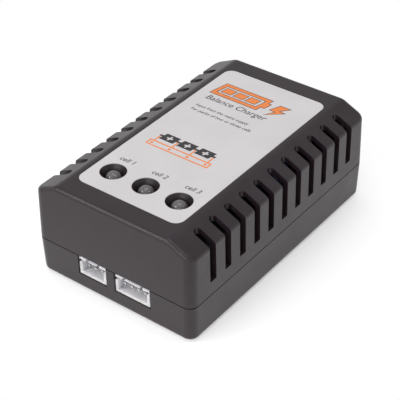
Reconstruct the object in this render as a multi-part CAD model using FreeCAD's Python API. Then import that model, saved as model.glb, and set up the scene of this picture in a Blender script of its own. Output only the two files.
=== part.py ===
import FreeCAD, Part
import math
import os

# Compact mains balance charger for two and three cell battery packs.
#
# Frame: millimetres, +Z up, +Y from the balance sockets towards the mains inlet, +X to the right when
# facing the balance sockets. The origin is the centre of the footprint, on the surface it rests on.
#
# Each function returns the shape of one node or of one detail. main() writes one STEP file per node.

V = FreeCAD.Vector

# ---------------------------------------------------------------- allowances shared by all parts
FREE_GAP = 0.05  # left between parts that rest against each other
FIT_GAP = 0.01  # left all round a contact or lead that is pressed or moulded in
WINDING_GAP = 0.02  # left between a winding and what it is wound on
TOUCH = 0.01  # an edge this close to a plane lies in it
OVERSHOOT = 5.0  # how far a cutter may reach past the casing

# ---------------------------------------------------------------- driving dimensions, case
CASE_WIDTH = 57.5  # across X, at the parting line
CASE_LENGTH = 90.0  # along Y, at the parting line
CASE_HEIGHT = 33.0
PARTING_Z = 12.4
UPPER_SIDE_DRAFT = 0.25  # each long wall leans in by this much from the parting line to the top
UPPER_END_DRAFT = 0.45  # and each end wall by this much
LOWER_SIDE_DRAFT = 0.3  # the same, from the parting line down to the bottom
LOWER_END_DRAFT = 0.3
CORNER_RADIUS = 3.0
WALL = 1.8
TOP_WALL = 2.0
FLOOR = 2.0
FLAT_HALF_WIDTH = 20.5  # the flat top ends here and the long chamfers begin
CHAMFER_DROP = 3.8  # height of a chamfer where it meets the side wall
CHAMFER_BEND = 4.0  # radius of the soft bend from the flat top to a chamfer
RIM_FILLET = 1.4  # all round, where the top and the chamfers meet the upright walls
BOTTOM_FILLET = 1.5

# parting line: a shadow gap outside, a tongue and groove inside
GAP = 0.3
INNER_BITE = 0.1  # the band cut for the tongue reaches this far past the inner wall face
TONGUE_THICKNESS = 0.8
TONGUE_HEIGHT = 1.0
LAP_CLEARANCE = 0.1

# ventilation slots, cut down through the chamfer and the side wall
SLOT_COUNT = 11
SLOT_PITCH = 7.0
SLOT_WIDTH = 2.8
SLOT_INNER_X = 22.4
SLOT_BOTTOM_Z = 17.0

# label on the top face
LABEL_WIDTH = 37.4
LABEL_LENGTH = 75.0
LABEL_RADIUS = 3.0
LABEL_THICKNESS = 0.2
LABEL_RECESS = 0.25
LABEL_CLEARANCE = 0.15
LABEL_HOLE_CLEARANCE = 0.05

# indicator lamps
LAMP_COUNT = 3
LAMP_PITCH = 12.0
LAMP_Y = -28.4
LAMP_HOLE_RADIUS = 4.0
LAMP_BORE_RADIUS = 2.7
LAMP_CONE_DEPTH = 2.5
LAMP_BOSS_RADIUS = 4.6
LAMP_BOSS_BOTTOM = 25.0
LENS_RADIUS = 2.5
LENS_FLANGE_RADIUS = 2.9
LENS_FLANGE_HEIGHT = 1.0
LENS_BASE_Z = 23.95
LENS_TOP_Z = 32.8
LAMP_LEAD_TOP_Z = LENS_BASE_Z + 1.9  # the leads end inside the lens
LAMP_LEAD_HALF_SPACING = 1.27

# case screws, driven up from below into bosses of the upper shell
SCREW_X = 22.6
SCREW_Y = 39.6
SCREW_RADIUS = 1.3
SCREW_HEAD_RADIUS = 2.6
SCREW_HEAD_HEIGHT = 1.9
SCREW_LENGTH = 12.0
THREAD_PITCH = 1.1
THREAD_DEPTH = 0.25
SCREW_TIP_LENGTH = 1.8
SCREW_TIP_RADIUS = 0.15
RECESS_LENGTH = 2.7
RECESS_WIDTH = 0.55
RECESS_DEPTH = 1.0
WELL_RADIUS = 2.9
WELL_DEPTH = 3.6
LOWER_BOSS_RADIUS = 3.8
BOSS_JOINT_Z = 5.6
UPPER_BOSS_RADIUS = 3.0
PILOT_RADIUS = SCREW_RADIUS + 0.02
PILOT_SPARE_DEPTH = 1.5  # left beyond the tip of a screw
SHELF_HOLE_RADIUS = 1.6

# ribs inside the casing
RIB_X = 25.1  # inner face of the ribs that hold the board down
RIB_FOOT_IN = 0.6  # the foot of a rib reaches this far inwards of that face
RIB_FOOT_OUT = 0.7  # and this far outwards
RIB_Y = 2.5 * SLOT_PITCH
RIB_TOP_Z = 25.0
FLOOR_RIB_HEIGHT = 0.8
FLOOR_RIB_HALF_WIDTH = 0.6

# circuit board
BOARD_BOTTOM = 4.2
BOARD_THICKNESS = 1.6
BOARD_TOP = BOARD_BOTTOM + BOARD_THICKNESS
BOARD_WIDTH = 52.0
BOARD_LENGTH = 85.0
BOARD_NOTCH_X = 18.4
BOARD_NOTCH_Y = 35.4
PEG_X = 24.0
PEG_Y = 24.5
PEG_RADIUS = 1.0
PEG_RISE = 0.6  # above the board
LEAD_RADIUS = 0.3
LEAD_END_Z = 3.0
DRILL_RADIUS = 0.5
BOARD_HOLE_CLEARANCE = 0.1  # round pegs and flat tails
SOLDER_HEIGHT = 0.9
SOLDER_FOOT_RADIUS = 0.95
SOLDER_NECK_RADIUS = 0.55

# balance sockets: shrouded headers with 2.5 mm pitch, mouths in the front wall
SOCKET_PINS = (3, 4)  # contacts of the left and the right socket, one more than the cells they serve
HEADER_PITCH = 2.5
HEADER_END_MARGIN = 4.9  # housing width is pitch * (pins - 1) plus this
HEADER_HEIGHT = 6.0
HEADER_DEPTH = 9.3
HEADER_WALL = 0.8
HEADER_ROOF = 0.65
HEADER_CAVITY_DEPTH = 7.0
HEADER_MOUTH_Y = -44.7
HEADER_GAP = 3.7
HEADERS_CENTRE_X = 0.4  # the pair of sockets sits a little right of the middle
HEADER_PIN = 0.64
KEY_WIDTH = 1.1
KEY_INSET = 2.9  # from each end of the housing to the middle of its key slot
KEY_LENGTH = 4.2
TONGUE_STEP = 0.3  # the roof between the key slots lies this much lower
TONGUE_ROOF = 1.05  # and is this thick
SLIT_HEIGHT = 1.1
SLIT_LENGTH = 3.2
WINDOW_CLEARANCE = 0.4
WINDOW_DEPTH = 4.0  # how far a connector window is cut inwards

# mains inlet: a two-pin figure-of-eight appliance inlet in the rear wall
INLET_WIDTH = 20.2
INLET_HEIGHT = 11.2
INLET_DEPTH = 17.0
INLET_MOUTH_Y = 44.6
INLET_PIN_SPACING = 8.6
INLET_PIN_RADIUS = 1.2
INLET_PIN_LENGTH = 9.0
INLET_LOBE_RADIUS = 3.9
INLET_CAVITY_DEPTH = 10.8
INLET_WINDOW_CLEARANCE = 0.25


# ---------------------------------------------------------------- helpers
def box(x0, x1, y0, y1, z0, z1):
    """Box between two corners, given in either order along each axis."""
    low = V(min(x0, x1), min(y0, y1), min(z0, z1))
    return Part.makeBox(abs(x1 - x0), abs(y1 - y0), abs(z1 - z0), low)


def tube_z(radius, x, y, z0, z1):
    """Upright cylinder."""
    return Part.makeCylinder(radius, z1 - z0, V(x, y, z0))


def tube_y(radius, x, z, y0, y1):
    """Cylinder along Y, its ends given in either order."""
    return Part.makeCylinder(radius, abs(y1 - y0), V(x, min(y0, y1), z), V(0, 1, 0))


def tube_x(radius, y, z, x0, x1):
    """Cylinder along X, its ends given in either order."""
    return Part.makeCylinder(radius, abs(x1 - x0), V(min(x0, x1), y, z), V(1, 0, 0))


def joined(shapes):
    """One solid from touching shapes."""
    return shapes[0].multiFuse(shapes[1:]).removeSplitter()


def cut_all(shape, cutters):
    """Shape less every cutter."""
    return shape.cut(Part.makeCompound(cutters))


def group(shapes):
    """Separate solids kept in one node."""
    return Part.makeCompound(shapes)


def mirrored(shape, normal):
    """Copy mirrored in a plane through the origin."""
    return shape.mirror(V(0, 0, 0), normal)


def rounded_outline(width, length, radius, z):
    """Closed wire: a rectangle with round corners, centred on the origin."""
    a, b, r = width / 2, length / 2, radius
    s = r * math.sqrt(0.5)
    edges = []
    corners = [(a, b, 1, 1), (-a, b, -1, 1), (-a, -b, -1, -1), (a, -b, 1, -1)]
    for i, (x, y, sx, sy) in enumerate(corners):
        cx, cy = x - sx * r, y - sy * r
        on_x, on_y = V(x, cy, z), V(cx, y, z)
        middle = V(cx + sx * s, cy + sy * s, z)
        start, end = (on_x, on_y) if i % 2 == 0 else (on_y, on_x)
        edges.append(Part.Arc(start, middle, end).toShape())
    ends = [(e.Vertexes[0].Point, e.Vertexes[-1].Point) for e in edges]
    for i in range(4):
        edges.append(Part.makeLine(ends[i][1], ends[(i + 1) % 4][0]))
    return Part.Wire(Part.__sortEdges__(edges))


def rounded_block(width, length, radius, z0, z1):
    """Upright block with round vertical corners."""
    return Part.Face(rounded_outline(width, length, radius, z0)).extrude(V(0, 0, z1 - z0))


def tapered_block(radius, low, high):
    """Block whose outline changes evenly between two levels, each given as (width, length, z)."""
    outlines = [rounded_outline(width, length, radius, z) for width, length, z in (low, high)]
    return Part.makeLoft(outlines, True, True)


def fillet_where(shape, radius, wanted):
    """Rounds every edge for which wanted(edge) is true."""
    edges = [e for e in shape.Edges if wanted(e)]
    return shape.makeFillet(radius, edges)


def revolved(points, x=0.0, y=0.0):
    """Solid of revolution about the upright axis through x, y. Points are (radius, z)."""
    wire = Part.makePolygon([V(x + r, y, z) for r, z in points + points[:1]])
    return Part.Face(wire).revolve(V(x, y, 0), V(0, 0, 1), 360)


def plate(points, thickness, origin, along_u, along_v):
    """Flat plate: an outline of (u, v) points, extruded along u cross v."""
    u, v = V(*along_u), V(*along_v)
    at = [V(*origin) + u * p + v * q for p, q in points]
    wire = Part.makePolygon(at + at[:1])
    return Part.Face(wire).extrude(u.cross(v) * thickness)


# ---------------------------------------------------------------- shells
CHAMFER_SLOPE = CHAMFER_DROP / (CASE_WIDTH / 2 - UPPER_SIDE_DRAFT - FLAT_HALF_WIDTH)


def chamfer_wedges(flat_half_width, top_z):
    """The two wedges above the chamfer planes, to cut away."""
    reach = CASE_WIDTH / 2 + OVERSHOOT
    low_z = top_z - (reach - flat_half_width) * CHAMFER_SLOPE
    above = top_z + OVERSHOOT
    outline = [(flat_half_width, top_z), (reach, low_z), (reach, above), (flat_half_width, above)]
    half = CASE_LENGTH / 2 + OVERSHOOT
    right = plate(outline, 2 * half, (0, half, 0), (1, 0, 0), (0, 0, 1))
    return [right, mirrored(right, V(1, 0, 0))]


def upper_envelope():
    """Outside of the upper shell, filled."""
    low = (CASE_WIDTH, CASE_LENGTH, PARTING_Z)
    high = (CASE_WIDTH - 2 * UPPER_SIDE_DRAFT, CASE_LENGTH - 2 * UPPER_END_DRAFT, CASE_HEIGHT)
    body = tapered_block(CORNER_RADIUS, low, high)
    for wedge in chamfer_wedges(FLAT_HALF_WIDTH, CASE_HEIGHT):
        body = body.cut(wedge)
    half_width, half_length = CASE_WIDTH / 2, CASE_LENGTH / 2

    def on_top(edge):
        return edge.BoundBox.ZMin > CASE_HEIGHT / 2

    def beside_wall(edge):
        centre = edge.BoundBox.Center
        return abs(centre.x) > half_width - CORNER_RADIUS or abs(centre.y) > half_length - CORNER_RADIUS

    body = fillet_where(body, CHAMFER_BEND, lambda edge: on_top(edge) and not beside_wall(edge))
    return fillet_where(body, RIM_FILLET, lambda edge: on_top(edge) and beside_wall(edge))


def upper_cavity():
    """Inside of the upper shell."""
    inner_drop = TOP_WALL - WALL / math.cos(math.atan(CHAMFER_SLOPE))
    inner_flat = FLAT_HALF_WIDTH + inner_drop / CHAMFER_SLOPE
    ceiling = CASE_HEIGHT - TOP_WALL
    part_way = (ceiling - PARTING_Z) / (CASE_HEIGHT - PARTING_Z)
    width, length = CASE_WIDTH - 2 * WALL, CASE_LENGTH - 2 * WALL
    high_width = width - 2 * UPPER_SIDE_DRAFT * part_way
    high_length = length - 2 * UPPER_END_DRAFT * part_way
    inner_radius = CORNER_RADIUS - WALL
    body = tapered_block(inner_radius, (width, length, PARTING_Z), (high_width, high_length, ceiling))
    for wedge in chamfer_wedges(inner_flat, ceiling):
        body = body.cut(wedge)
    return body


def wall_band(outer, inner, z0, z1):
    """Ring between two offsets in from the outer face of the wall."""

    def filled(inset):
        return rounded_block(CASE_WIDTH - 2 * inset, CASE_LENGTH - 2 * inset, CORNER_RADIUS - inset, z0, z1)

    return filled(outer).cut(filled(inner))


def slot_cutters():
    """Ventilation slots on both long sides: round inner ends in plan, square at the bottom."""
    radius = SLOT_WIDTH / 2
    reach = CASE_WIDTH / 2 + 1
    cutters = []
    for i in range(SLOT_COUNT):
        y = (i - (SLOT_COUNT - 1) / 2) * SLOT_PITCH
        run = box(SLOT_INNER_X + radius, reach, y - radius, y + radius, SLOT_BOTTOM_Z, CASE_HEIGHT + 1)
        end = tube_z(radius, SLOT_INNER_X + radius, y, SLOT_BOTTOM_Z, CASE_HEIGHT + 1)
        slot = run.fuse(end)
        cutters += [slot, mirrored(slot, V(1, 0, 0))]
    return cutters


def lamp_positions():
    """Centre of each lamp in plan."""
    return [((i - (LAMP_COUNT - 1) / 2) * LAMP_PITCH, LAMP_Y) for i in range(LAMP_COUNT)]


FOUR_CORNERS = [(-1, -1), (-1, 1), (1, -1), (1, 1)]


def screw_positions():
    """Centre of each case screw in plan."""
    return [(sx * SCREW_X, sy * SCREW_Y) for sx, sy in FOUR_CORNERS]


def header_spans():
    """(pin count, lowest x, highest x) of the two balance sockets, side by side."""
    left_width, right_width = [HEADER_PITCH * (pins - 1) + HEADER_END_MARGIN for pins in SOCKET_PINS]
    left = HEADERS_CENTRE_X - (left_width + HEADER_GAP + right_width) / 2
    right = left + left_width + HEADER_GAP
    return [(SOCKET_PINS[0], left, left + left_width), (SOCKET_PINS[1], right, right + right_width)]


def inlet_window():
    """Opening for the mains inlet, across the parting line."""
    half = INLET_WIDTH / 2 + INLET_WINDOW_CLEARANCE
    low = BOARD_TOP - INLET_WINDOW_CLEARANCE
    high = BOARD_TOP + INLET_HEIGHT + INLET_WINDOW_CLEARANCE
    return box(-half, half, CASE_LENGTH / 2 - WINDOW_DEPTH, CASE_LENGTH / 2 + 1, low, high)


def upper_posts(outside):
    """Everything that stands inside the upper casing: screw bosses, lamp tubes and hold-down ribs."""
    below_skin = outside.copy()
    below_skin.translate(V(0, 0, -0.5))
    posts = []
    for x, y in screw_positions():
        posts.append(tube_z(UPPER_BOSS_RADIUS, x, y, BOSS_JOINT_Z + FREE_GAP, PARTING_Z + 1))
        posts.append(tube_z(UPPER_BOSS_RADIUS, x, y, PARTING_Z, CASE_HEIGHT).common(below_skin))
    for x, y in lamp_positions():
        posts.append(tube_z(LAMP_BOSS_RADIUS, x, y, LAMP_BOSS_BOTTOM, CASE_HEIGHT - TOP_WALL + 0.5))
    for sx, sy in FOUR_CORNERS:
        y0, y1 = sy * RIB_Y - 1, sy * RIB_Y + 1
        posts.append(box(sx * RIB_X, sx * (RIB_X + 2), y0, y1, PARTING_Z + 0.5, RIB_TOP_Z))
        foot = (sx * (RIB_X - RIB_FOOT_IN), sx * (RIB_X + RIB_FOOT_OUT))
        posts.append(box(*foot, y0, y1, BOARD_TOP + FREE_GAP, RIB_TOP_Z))
    return posts


def upper_cutters():
    """Label recess, lamp wells, screw pilots, tongue groove, parting gap and inlet window."""
    seat = CASE_HEIGHT - LABEL_RECESS
    recess = (LABEL_WIDTH + 2 * LABEL_CLEARANCE, LABEL_LENGTH + 2 * LABEL_CLEARANCE)
    cutters = [rounded_block(*recess, LABEL_RADIUS + LABEL_CLEARANCE, seat, CASE_HEIGHT + 1)]
    for x, y in lamp_positions():
        foot = V(x, y, seat - LAMP_CONE_DEPTH)
        cutters.append(Part.makeCone(LAMP_BORE_RADIUS, LAMP_HOLE_RADIUS, LAMP_CONE_DEPTH, foot))
        cutters.append(tube_z(LAMP_BORE_RADIUS, x, y, LAMP_BOSS_BOTTOM - 1, seat))
    pilot_top = WELL_DEPTH + SCREW_LENGTH + PILOT_SPARE_DEPTH
    for x, y in screw_positions():
        cutters.append(tube_z(PILOT_RADIUS, x, y, BOSS_JOINT_Z - 1, pilot_top))
    inner = WALL + INNER_BITE
    groove = WALL - TONGUE_THICKNESS - LAP_CLEARANCE
    cutters.append(wall_band(groove, inner, PARTING_Z - 1, PARTING_Z + TONGUE_HEIGHT + LAP_CLEARANCE))
    cutters.append(wall_band(-1, inner, PARTING_Z - 1, PARTING_Z + GAP / 2))
    cutters.append(inlet_window())
    return cutters


def upper_shell():
    """Upper casing with slots, lamp wells, label recess and screw bosses."""
    outside = upper_envelope()
    walls = cut_all(outside.cut(upper_cavity()), slot_cutters())
    return cut_all(joined([walls] + upper_posts(outside)), upper_cutters())


def lower_tub():
    """Floor, walls and tongue, with the outside they were made from."""
    base = (CASE_WIDTH - 2 * LOWER_SIDE_DRAFT, CASE_LENGTH - 2 * LOWER_END_DRAFT, 0)
    outside = tapered_block(CORNER_RADIUS, base, (CASE_WIDTH, CASE_LENGTH, PARTING_Z))
    outside = fillet_where(outside, BOTTOM_FILLET, lambda e: e.BoundBox.ZMax < TOUCH)
    below_rim = 1 - FLOOR / PARTING_Z
    inner_width, inner_length = CASE_WIDTH - 2 * WALL, CASE_LENGTH - 2 * WALL
    floor_width = inner_width - 2 * LOWER_SIDE_DRAFT * below_rim
    floor_length = inner_length - 2 * LOWER_END_DRAFT * below_rim
    inner_rim = (inner_width, inner_length, PARTING_Z)
    inside = tapered_block(CORNER_RADIUS - WALL, (floor_width, floor_length, FLOOR), inner_rim)
    rim_z = PARTING_Z - GAP / 2
    walls = outside.cut(inside).cut(wall_band(-1, WALL + INNER_BITE, rim_z, PARTING_Z + 1))
    tongue = wall_band(WALL - TONGUE_THICKNESS, WALL, rim_z - 0.5, PARTING_Z + TONGUE_HEIGHT)
    return outside, [walls, tongue]


def lower_posts(outside):
    """Everything that stands on the floor: screw bosses, board pegs and stiffening ribs."""
    posts = []
    for x, y in screw_positions():
        posts.append(tube_z(LOWER_BOSS_RADIUS, x, y, 0.5, BOSS_JOINT_Z).common(outside))
    for sx, sy in FOUR_CORNERS:
        x, y = sx * PEG_X, sy * PEG_Y
        posts.append(tube_z(2 * PEG_RADIUS, x, y, FLOOR - 0.5, BOARD_BOTTOM))
        posts.append(tube_z(PEG_RADIUS, x, y, FLOOR, BOARD_TOP + PEG_RISE))
    half_x, half_y = CASE_WIDTH / 2 - WALL - 1, CASE_LENGTH / 2 - WALL - 2
    half, levels = FLOOR_RIB_HALF_WIDTH, (FLOOR - 0.5, FLOOR + FLOOR_RIB_HEIGHT)
    for y in (-RIB_Y, RIB_Y):
        posts.append(box(-half_x, half_x, y - half, y + half, *levels))
    posts.append(box(-half, half, -half_y, half_y, *levels))
    return posts


def lower_cutters():
    """Screw wells and the windows for the three connectors."""
    cutters = []
    for x, y in screw_positions():
        cutters.append(tube_z(WELL_RADIUS, x, y, -1, WELL_DEPTH))
        cutters.append(tube_z(SHELF_HOLE_RADIUS, x, y, -1, BOSS_JOINT_Z + 1))
    front = -CASE_LENGTH / 2
    low = BOARD_TOP - WINDOW_CLEARANCE
    for _, x0, x1 in header_spans():
        span = (x0 - WINDOW_CLEARANCE, x1 + WINDOW_CLEARANCE)
        cutters.append(box(*span, front - 1, front + WINDOW_DEPTH, low, PARTING_Z + 2))
    return cutters + [inlet_window()]


def lower_shell():
    """Lower casing with screw wells, board pegs, tongue and connector windows."""
    outside, tub = lower_tub()
    return cut_all(joined(tub + lower_posts(outside)), lower_cutters())


def top_label():
    """Printed sheet in the recess of the top face, with a hole over each lamp."""
    seat = CASE_HEIGHT - LABEL_RECESS
    sheet = rounded_block(LABEL_WIDTH, LABEL_LENGTH, LABEL_RADIUS, seat, seat + LABEL_THICKNESS)
    for x, y in lamp_positions():
        sheet = sheet.cut(tube_z(LAMP_HOLE_RADIUS + LABEL_HOLE_CLEARANCE, x, y, seat - 1, seat + 1))
    return sheet


def screw_outline():
    """Half outline of a screw that points up: domed head, threaded shank and tip."""
    seat, tip = WELL_DEPTH, WELL_DEPTH + SCREW_LENGTH
    low = seat - SCREW_HEAD_HEIGHT
    dome = [(0.55, 1.0), (0.88, 0.72), (1.0, 0.35), (1.0, 0.0)]  # shares of head radius and height
    outline = [(0, low)]
    outline += [(SCREW_HEAD_RADIUS * across, seat - SCREW_HEAD_HEIGHT * down) for across, down in dome]
    core = SCREW_RADIUS - THREAD_DEPTH
    outline.append((core, seat))
    z = seat + 2 * THREAD_PITCH
    while z < tip - 2 * THREAD_PITCH:
        outline += [(core, z), (SCREW_RADIUS, z + THREAD_DEPTH), (core, z + 2 * THREAD_DEPTH)]
        z += THREAD_PITCH
    outline += [(core, tip - SCREW_TIP_LENGTH), (SCREW_TIP_RADIUS, tip), (0, tip)]
    return outline


def case_screws():
    """Four self-tapping screws with domed cross-recess heads."""
    low = WELL_DEPTH - SCREW_HEAD_HEIGHT
    arm, half, deep = RECESS_LENGTH / 2, RECESS_WIDTH / 2, low + RECESS_DEPTH
    cross = box(-arm, arm, -half, half, low - 1, deep).fuse(box(-half, half, -arm, arm, low - 1, deep))
    one = revolved(screw_outline()).cut(cross)
    screws = []
    for x, y in screw_positions():
        screw = one.copy()
        screw.translate(V(x, y, 0))
        screws.append(screw)
    return group(screws)


# ---------------------------------------------------------------- balance sockets
def header_housing(pins, x0, x1):
    """Shrouded header: open mouth, key slots beside a thicker roof tongue, slits in the end walls."""
    y0, y1 = HEADER_MOUTH_Y, HEADER_MOUTH_Y + HEADER_DEPTH
    z0, z1 = BOARD_TOP, BOARD_TOP + HEADER_HEIGHT
    w, ceiling = HEADER_WALL, z1 - HEADER_ROOF
    mouth = box(x0 + w, x1 - w, y0 - 1, y0 + HEADER_CAVITY_DEPTH, z0 + w, ceiling)
    shroud = box(x0, x1, y0, y1, z0, z1).cut(mouth)
    tongue_top = z1 - TONGUE_STEP
    key_middles = (x0 + KEY_INSET, x1 - KEY_INSET)
    key_end = y0 + KEY_LENGTH
    body = joined([shroud, box(*key_middles, y0, key_end + 0.5, tongue_top - TONGUE_ROOF, tongue_top)])
    cutters = [box(*key_middles, y0 - 1, key_end, tongue_top, z1 + 1)]
    for x in key_middles:
        cutters.append(box(x - KEY_WIDTH / 2, x + KEY_WIDTH / 2, y0 - 1, key_end, ceiling - 1, z1 + 1))
    cutters.append(box(x0 - 1, x1 + 1, y0 - 1, y0 + SLIT_LENGTH, ceiling - SLIT_HEIGHT, ceiling))
    cutters += [header_pin_path(x, clearance=FIT_GAP) for x in header_pin_xs(pins, x0)]
    return cut_all(body, cutters)


def header_pin_xs(pins, x0):
    """Each contact's x."""
    first = x0 + HEADER_END_MARGIN / 2
    return [first + i * HEADER_PITCH for i in range(pins)]


HEADER_PIN_Z = BOARD_TOP + HEADER_HEIGHT / 2
HEADER_TAIL_Y = HEADER_MOUTH_Y + HEADER_DEPTH + 1.2  # the tails go down behind the housing
HEADER_TIP_Y = HEADER_MOUTH_Y + 1.3  # the tips stop inside the mouth


def header_pin_path(x, clearance=0.0):
    """One bent contact: a square post into the mouth, and a tail down through the board."""
    h = HEADER_PIN / 2 + clearance
    post = box(x - h, x + h, HEADER_TIP_Y, HEADER_TAIL_Y + h, HEADER_PIN_Z - h, HEADER_PIN_Z + h)
    tail = box(x - h, x + h, HEADER_TAIL_Y - h, HEADER_TAIL_Y + h, LEAD_END_Z, HEADER_PIN_Z)
    return joined([post, tail])


def header_contacts(pins, x0):
    """All contacts of one socket."""
    return group([header_pin_path(px) for px in header_pin_xs(pins, x0)])


# ---------------------------------------------------------------- mains inlet
INLET_Z = BOARD_TOP + INLET_HEIGHT / 2
INLET_PIN_XS = (-INLET_PIN_SPACING / 2, INLET_PIN_SPACING / 2)
INLET_BACK_Y = INLET_MOUTH_Y - INLET_DEPTH
INLET_TAIL_Y = INLET_BACK_Y - 1.5
INLET_TAIL_HALF_WIDTH = 1.0
INLET_TAIL_HALF_THICKNESS = 0.4
INLET_FLOOR_Y = INLET_MOUTH_Y - INLET_CAVITY_DEPTH
INLET_SHANK_RADIUS = 1.5
INLET_WAIST = 0.62 * INLET_LOBE_RADIUS  # half height of the cavity between its two lobes
INLET_EDGE_RADIUS = 1.0
INLET_NOTCH_DEPTH = 0.8
INLET_NOTCH_UP = 2.5
INLET_NOTCH_BACK = 3.0
INLET_NOTCH_LENGTH = 3.0
INLET_TAIL_TOP_Z = INLET_Z + 1.2


def inlet_housing():
    """Moulded inlet with a figure-of-eight cavity, and a catch notch in each side."""
    half, out_y, top = INLET_WIDTH / 2, INLET_MOUTH_Y + 1, BOARD_TOP + INLET_HEIGHT
    body = box(-half, half, INLET_BACK_Y, INLET_MOUTH_Y, BOARD_TOP, top)

    def along_top_sides(edge):
        bounds = edge.BoundBox
        return bounds.ZMin > BOARD_TOP + 1 and bounds.YLength > 1

    body = fillet_where(body, INLET_EDGE_RADIUS, along_top_sides)
    lobes = [tube_y(INLET_LOBE_RADIUS, x, INLET_Z, INLET_FLOOR_Y, out_y) for x in INLET_PIN_XS]
    bridge = box(*INLET_PIN_XS, INLET_FLOOR_Y, out_y, INLET_Z - INLET_WAIST, INLET_Z + INLET_WAIST)
    cutters = [joined(lobes + [bridge])]
    bore = INLET_SHANK_RADIUS + FIT_GAP
    for x in INLET_PIN_XS:
        cutters.append(tube_y(bore, x, INLET_Z, INLET_BACK_Y - 1, INLET_FLOOR_Y + 1))
    notch_y = INLET_BACK_Y + INLET_NOTCH_BACK
    notch_z = (BOARD_TOP + INLET_NOTCH_UP, top - INLET_NOTCH_UP)
    for x in (-half, half):
        sides = (x - INLET_NOTCH_DEPTH, x + INLET_NOTCH_DEPTH)
        cutters.append(box(*sides, notch_y, notch_y + INLET_NOTCH_LENGTH, *notch_z))
    return cut_all(body, cutters)


def inlet_pins():
    """Two round contact pins with thicker shanks in the housing and flat tails into the board."""
    pins = []
    tip_y = INLET_FLOOR_Y + INLET_PIN_LENGTH
    half_w, half_t = INLET_TAIL_HALF_WIDTH, INLET_TAIL_HALF_THICKNESS
    tail_y = (INLET_TAIL_Y - half_t, INLET_TAIL_Y + half_t)
    for x in INLET_PIN_XS:
        nose = Part.makeSphere(INLET_PIN_RADIUS, V(x, tip_y - INLET_PIN_RADIUS, INLET_Z))
        post = tube_y(INLET_PIN_RADIUS, x, INLET_Z, INLET_FLOOR_Y, tip_y - INLET_PIN_RADIUS)
        shank = tube_y(INLET_SHANK_RADIUS, x, INLET_Z, INLET_BACK_Y, INLET_FLOOR_Y)
        sides = (x - half_w, x + half_w)
        tail = box(*sides, *tail_y, LEAD_END_Z, INLET_TAIL_TOP_Z)
        link = box(*sides, INLET_TAIL_Y, INLET_BACK_Y + 0.5, INLET_Z - half_t, INLET_Z + half_t)
        pins.append(joined([nose, post, shank, link, tail]))
    return group(pins)


# ---------------------------------------------------------------- lamps
def lamp_lens(x, y):
    """Round lamp body: flange, barrel and domed top."""
    dome = Part.makeSphere(LENS_RADIUS, V(x, y, LENS_TOP_Z - LENS_RADIUS))
    barrel = tube_z(LENS_RADIUS, x, y, LENS_BASE_Z, LENS_TOP_Z - LENS_RADIUS)
    flange = tube_z(LENS_FLANGE_RADIUS, x, y, LENS_BASE_Z, LENS_BASE_Z + LENS_FLANGE_HEIGHT)
    lens = joined([dome, barrel, flange])
    for lead_x in lamp_lead_xs(x):
        bore_top = LAMP_LEAD_TOP_Z + FIT_GAP
        lens = lens.cut(tube_z(LEAD_RADIUS + FIT_GAP, lead_x, y, LENS_BASE_Z - 1, bore_top))
    return lens


def lamp_lead_xs(x):
    """The two leads of a lamp."""
    return (x - LAMP_LEAD_HALF_SPACING, x + LAMP_LEAD_HALF_SPACING)


def lamp_leads():
    """Long straight leads from the board up into each lamp."""
    return group([
        tube_z(LEAD_RADIUS, lead_x, y, LEAD_END_Z, LAMP_LEAD_TOP_Z)
        for x, y in lamp_positions() for lead_x in lamp_lead_xs(x)
    ])


def lamp_spacers():
    """Moulded spacers that hold the lamps at their height above the board."""
    spacers = []
    for x, y in lamp_positions():
        spacer = tube_z(LENS_FLANGE_RADIUS, x, y, BOARD_TOP, LENS_BASE_Z - FREE_GAP)
        for lead_x in lamp_lead_xs(x):
            spacer = spacer.cut(tube_z(LEAD_RADIUS + FIT_GAP, lead_x, y, BOARD_TOP - 1, LENS_BASE_Z + 1))
        spacers.append(spacer)
    return group(spacers)


# ---------------------------------------------------------------- board components
# Plan positions of the parts on the board. Mains side at the rear, cell side at the front.
FUSE_AT = (14.2, 29.5)
FUSE_LENGTH = 9.0
FUSE_RADIUS = 1.9
FUSE_CAP_LENGTH = 1.5
FUSE_BEND = 1.5  # from the end of a cap to the bend of its lead
FUSE_GLASS_RADIUS = 1.75
FUSE_BORE_RADIUS = 1.2
FUSE_WIRE_RADIUS = 0.12
FUSE_Z = BOARD_TOP + FUSE_RADIUS + 0.3
FILTER_CAPACITOR_AT = (-20.0, 23.5)
FILTER_CAPACITOR_SIZE = (5.0, 13.0, 11.0)
FILTER_CAPACITOR_HALF_SPAN = 5.0
CHOKE_AT = (-12.0, 20.0)
CHOKE_HALF_SPAN = 3.0
CHOKE_FLANGE_RADIUS = 4.5
CHOKE_FLANGE = 1.6
CHOKE_WAIST_RADIUS = 2.0
CHOKE_HEIGHT = 10.0
CHOKE_TURNS = 13
CHOKE_WIRE = 0.5
CHOKE_VALLEY_RADIUS = 3.7
CHOKE_RIDGE_RADIUS = 3.95
BOX_STANDOFF = 0.2  # under the boxed capacitor and the choke
CAN_STANDOFF = 0.3  # under the electrolytic capacitors
BULK_AT = (14.5, 11.5)
BULK_RADIUS = 6.25
BULK_HEIGHT = 20.0
BULK_HALF_SPAN = 2.5
TRANSFORMER_AT = (-6.0, 2.0)
DIODE_XS = (-20.0, -13.0, -6.0)
DIODE_Y = -12.0
DIODE_Z = BOARD_TOP + 1.8
DIODE_RADIUS = 1.5
DIODE_HALF_LENGTH = 2.6
DIODE_HALF_SPAN = 4.2
DIODE_EDGE = 0.3
CELL_CAPACITOR_XS = (-19.0, -9.5, 0.0)
CELL_CAPACITOR_Y = -20.6
CELL_CAPACITOR_RADIUS = 4.0
CELL_CAPACITOR_HEIGHT = 12.0
CELL_CAPACITOR_HALF_SPAN = 1.75
TRANSISTOR_X = 20.5
TRANSISTOR_YS = (-10.0, -19.5, -29.0)
TRANSISTOR_Z = BOARD_TOP + 4.0
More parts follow.
